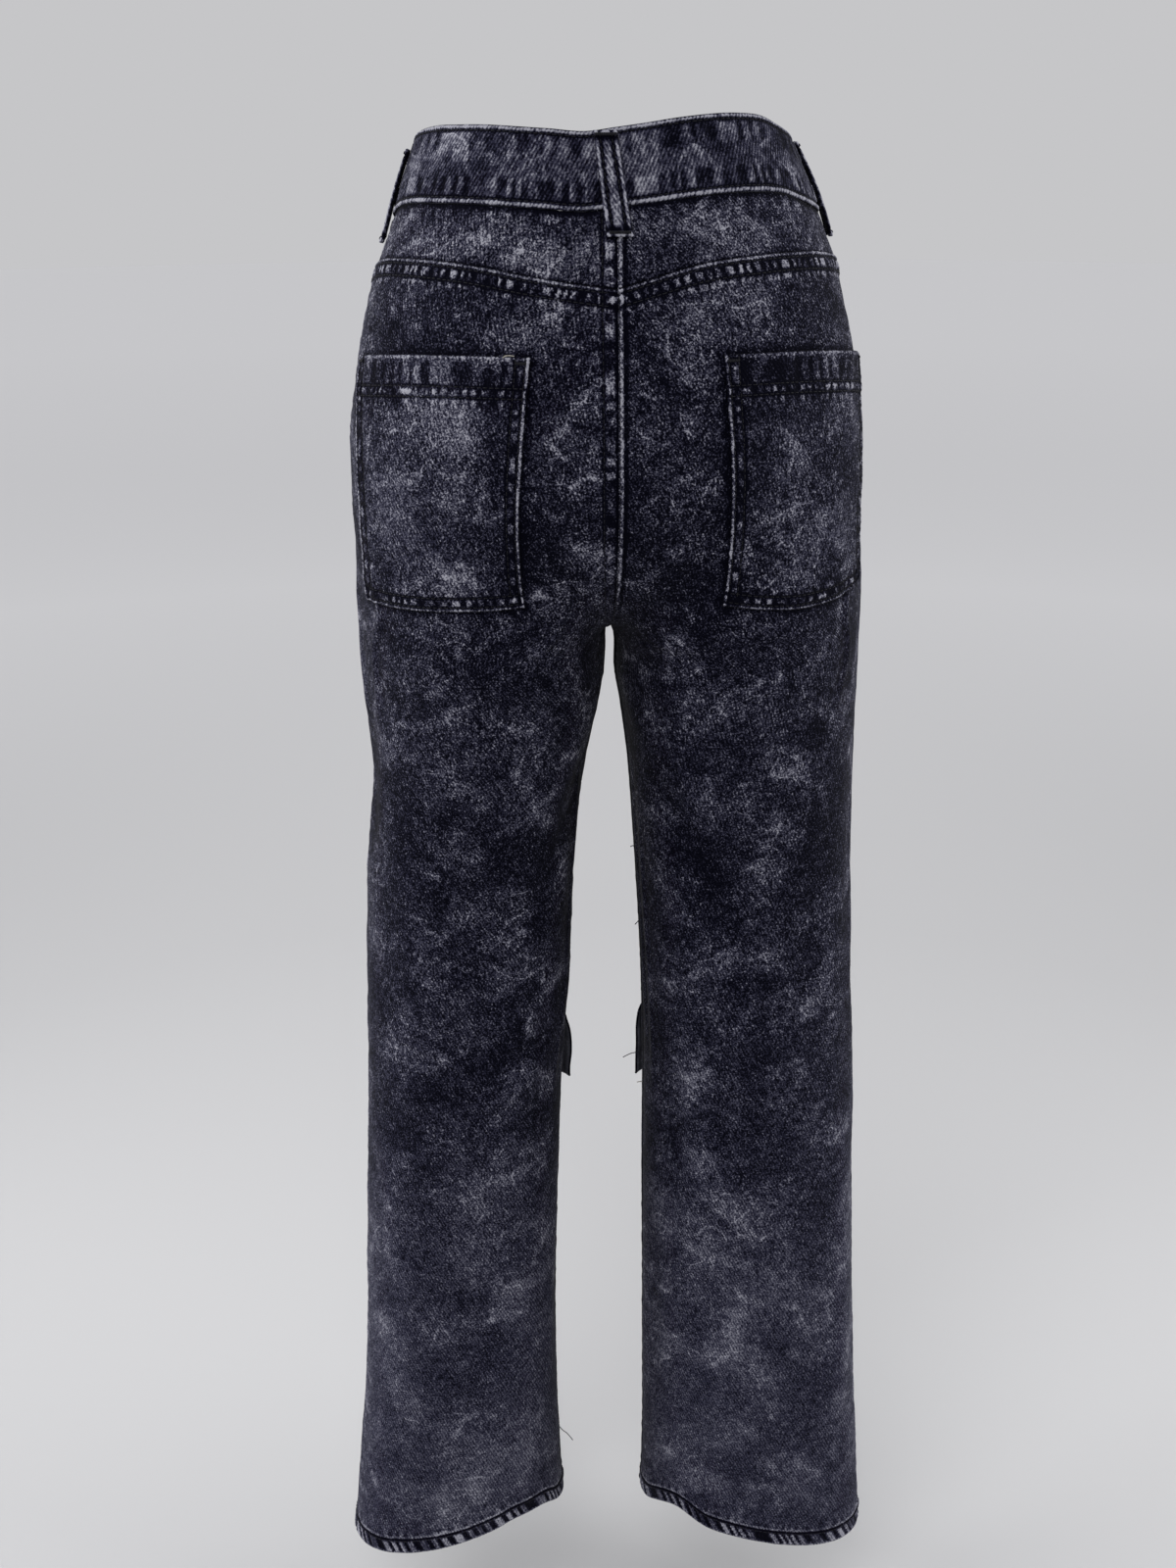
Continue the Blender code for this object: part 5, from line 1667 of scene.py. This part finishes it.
def grainyMaterial(name, scale, detail, steps, settings):
    # colour that runs between two steps with a fine noise
    made, tree, shader = newMaterial(name)
    place = addNode(tree, "ShaderNodeTexCoord", {}, {}).outputs["Object"]
    sizes = {"Scale": scale, "Detail": detail}
    grain = addNode(tree, "ShaderNodeTexNoise", sizes, {"Vector": place}).outputs[0]
    tree.links.new(colourSteps(tree, grain, steps), shader.inputs["Base Color"])
    setInputs(shader, settings)
    return made


denim = acidWashedTwill("acid-washed 3-1 twill denim", denimLook)
crosswiseDenim = acidWashedTwill("acid-washed 3-1 twill denim, cut crosswise", crosswiseLook)
wrongSide = wrongSideTwill()
# black spun polyester sewing thread: a soft dull gleam along each stitch
thread = grainyMaterial("black spun polyester thread", 900, 1, [(0.3, "#08080c"), (0.7, "#14141b")],
                        {"Roughness": 0.7, "Specular IOR Level": 0.2})
# pale cotton yarn pulled out of the cloth: greyish white and quite matt
yarn = grainyMaterial("pale cotton weft yarn", 900, 1, [(0.3, "#77736a"), (0.7, "#a09c92")],
                      {"Roughness": 0.95})
# blackened zinc: dark, with a soft highlight and rubbed high spots
zinc = grainyMaterial("blackened zinc button", 500, 3, [(0.3, "#3a3937"), (0.7, "#7a7875")],
                      {"Metallic": 1.0, "Roughness": 0.38})
for name, piece in pieces.items():
    crosswise = name.startswith(("waistband", "beltLoop"))
    piece["object"].data.materials.append(crosswiseDenim if crosswise else denim)
    piece["object"].data.materials.append(wrongSide)
for name, item in threads.items():
    pale = name.startswith("looseThread") and looseEnds[int(name[-1])][0] == "pale"
    item.data.materials.append(yarn if pale else thread)
button.data.materials.append(zinc)
print("materials ready")

# what each piece stands for, the width, length and area its cloth was cut to, and what it is sewn on
cutColumns = ("nodes", "cut", "on")
cutSizes = {
    "waistbandCloth": ("waistband", (0.760, 0.0435, 0.0325), []),
    "backYokeLeft": ("back_yoke_left", (0.175, 0.0430, 0.0067), ["waistband"]),
    "backYokeRight": ("back_yoke_right", (0.175, 0.0430, 0.0066), ["waistband"]),
    "backPanelLeft": ("back_panel_left", (0.290, 0.950, 0.211), ["back_yoke_left"]),
    "backPanelRight": ("back_panel_right", (0.290, 0.955, 0.219), ["back_yoke_right"]),
    "frontPanelLeft": ("front_panel_left", (0.275, 0.980, 0.211), ["waistband"]),
    "frontPanelRight": ("front_panel_right", (0.275, 0.985, 0.219), ["waistband"]),
    "backPocketLeft": ("back_pocket_left", (0.130, 0.148, 0.0187), ["back_panel_left"]),
    "backPocketRight": ("back_pocket_right", (0.130, 0.148, 0.0188), ["back_panel_right"]),
    "cargoPocketLeft": ("cargo_pocket_left", (0.138, 0.190, 0.0257), ["front_panel_left"]),
    "cargoPocketRight": ("cargo_pocket_right", (0.143, 0.190, 0.0269), ["front_panel_right"]),
    "cargoFlapLeft": ("cargo_flap_left", (0.176, 0.066, 0.0114), ["front_panel_left"]),
    "cargoFlapRight": ("cargo_flap_right", (0.179, 0.066, 0.0116), ["front_panel_right"]),
    "flyCloth": ("fly_placket", (0.040, 0.165, 0.0062), ["front_panel_left"]),
    "beltLoopBack": ("belt_loop_back", (0.0138, 0.060, 0.00082), ["waistband"]),
    "beltLoopSideLeft": ("belt_loop_side_left", (0.0138, 0.060, 0.00082), ["waistband"]),
    "beltLoopSideRight": ("belt_loop_side_right", (0.0138, 0.060, 0.00082), ["waistband"]),
    "beltLoopFrontLeft": ("belt_loop_front_left", (0.0138, 0.060, 0.00082), ["waistband"]),
    "beltLoopFrontRight": ("belt_loop_front_right", (0.0138, 0.060, 0.00082), ["waistband"]),
}
for name, row in cutSizes.items():
    facts = dict(zip(cutColumns, row))
    cloth = pieces[name]["object"]
    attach(cloth, "root")
    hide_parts(facts["nodes"])
for item in threads.values():
    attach(item, "root")
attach(button, "root")
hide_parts("waist_button")

# floor, light and camera
studio = {
    "floorHeight": -1.10,
    "floorRadius": 14,
    "floorColours": [(0.0, "#b4b4b5"), (0.12, "#b7b7b8"), (0.25, "#d5d5d6"), (0.6, "#dbdbdc")],
    "worldColour": "#dcdce0",
    "worldStrength": 0.62,
    "backdropColour": "#c6c6c8",
    "sun": {"towards": (-0.9, -2.3, -2.2), "angle": 50, "strength": 1.7},
    "leftLamp": {"place": (1.7, 0.0, 0.1), "size": 1.6, "power": 12, "spread": 110},
    "rightLamp": {"place": (-1.7, 0.1, 0.1), "size": 1.6, "power": 10.4, "spread": 110},
    "frontLamp": {"place": (0.0, -1.8, 1.6), "size": 2.0, "power": 18, "spread": 180},
}
bm = bmesh.new()
bmesh.ops.create_circle(bm, cap_ends=True, segments=64, radius=studio["floorRadius"])
bmesh.ops.translate(bm, verts=bm.verts, vec=(0, 0, studio["floorHeight"]))
mesh = bpy.data.meshes.new("studioFloor")
bm.to_mesh(mesh)
bm.free()
floor = addObject("studioFloor", mesh)
paint, tree, shader = newMaterial("pale matt studio floor")
# the paint gets a little paler away from the middle, where the lamps reach less
middle = addNode(tree, "ShaderNodeTexCoord", {}, {}).outputs["Object"]
away = addNode(tree, "ShaderNodeVectorMath", {"operation": "LENGTH"}, {0: middle}).outputs["Value"]
settings = {"operation": "DIVIDE", 1: studio["floorRadius"]}
part = addNode(tree, "ShaderNodeMath", settings, {0: away}).outputs[0]
tree.links.new(colourSteps(tree, part, studio["floorColours"]), shader.inputs["Base Color"])
setInputs(shader, {"Roughness": 0.9, "Specular IOR Level": 0.1})
floor.data.materials.append(paint)

world = bpy.data.worlds.new("studio")
bpy.context.scene.world = world
world.use_nodes = True
tree = world.node_tree
sky = tree.nodes["Background"]
setInputs(sky, {"Color": hexColour(studio["worldColour"]), "Strength": studio["worldStrength"]})
# what the camera sees past the floor is a backdrop as pale as the lit floor; it lights nothing
backdrop = addNode(tree, "ShaderNodeBackground", {}, {})
setInputs(backdrop, {"Color": hexColour(studio["backdropColour"]), "Strength": 1.0})
seen = addNode(tree, "ShaderNodeLightPath", {}, {}).outputs["Is Camera Ray"]
blend = addNode(tree, "ShaderNodeMixShader", {}, {0: seen, 1: sky.outputs[0], 2: backdrop.outputs[0]})
tree.links.new(blend.outputs[0], tree.nodes["World Output"].inputs["Surface"])

sunLamp = bpy.data.lights.new("sun", "SUN")
sunLamp.angle = math.radians(studio["sun"]["angle"])
sunLamp.energy = studio["sun"]["strength"]
sun = addObject("sun", sunLamp)
sun.rotation_euler = Vector(studio["sun"]["towards"]).to_track_quat("-Z", "Y").to_euler()
target = Vector((0, 0, -0.5))
for name in ("leftLamp", "rightLamp", "frontLamp"):
    spec = studio[name]
    lamp = bpy.data.lights.new(name, "AREA")
    lamp.shape = "DISK"
    lamp.size = spec["size"]
    lamp.energy = spec["power"]
    lamp.spread = math.radians(spec["spread"])
    light = addObject(name, lamp)
    light.location = spec["place"]
    light.visible_camera = False
    light.rotation_euler = (target - light.location).to_track_quat("-Z", "Y").to_euler()

view = {
    "place": (0.0696, 1.1379, 0.008),
    "heading": 2.8442,    # degrees off the line straight at the back
    "down": 20.5,
    "roll": 0.3,
    "lens": 41.175,
}
camData = bpy.data.cameras.new("camera")
camData.sensor_fit = "VERTICAL"
camData.sensor_height = 36
camData.lens = view["lens"]
camData.clip_start = 0.05
camera = addObject("camera", camData)
heading = math.radians(view["heading"])
down = math.radians(view["down"])
roll = math.radians(view["roll"])
level = Vector((-math.sin(heading), -math.cos(heading), 0))
forward = level * math.cos(down) - Vector((0, 0, 1)) * math.sin(down)
rightward = forward.cross(Vector((0, 0, 1))).normalized()
upward = rightward.cross(forward)
acrossView = rightward * math.cos(roll) - upward * math.sin(roll)
upView = upward * math.cos(roll) + rightward * math.sin(roll)
camera.matrix_world = Matrix((
    (acrossView.x, upView.x, -forward.x, view["place"][0]),
    (acrossView.y, upView.y, -forward.y, view["place"][1]),
    (acrossView.z, upView.z, -forward.z, view["place"][2]),
    (0, 0, 0, 1),
))
bpy.context.scene.camera = camera
bpy.context.scene.view_settings.view_transform = "Standard"

bpy.context.view_layer.update()
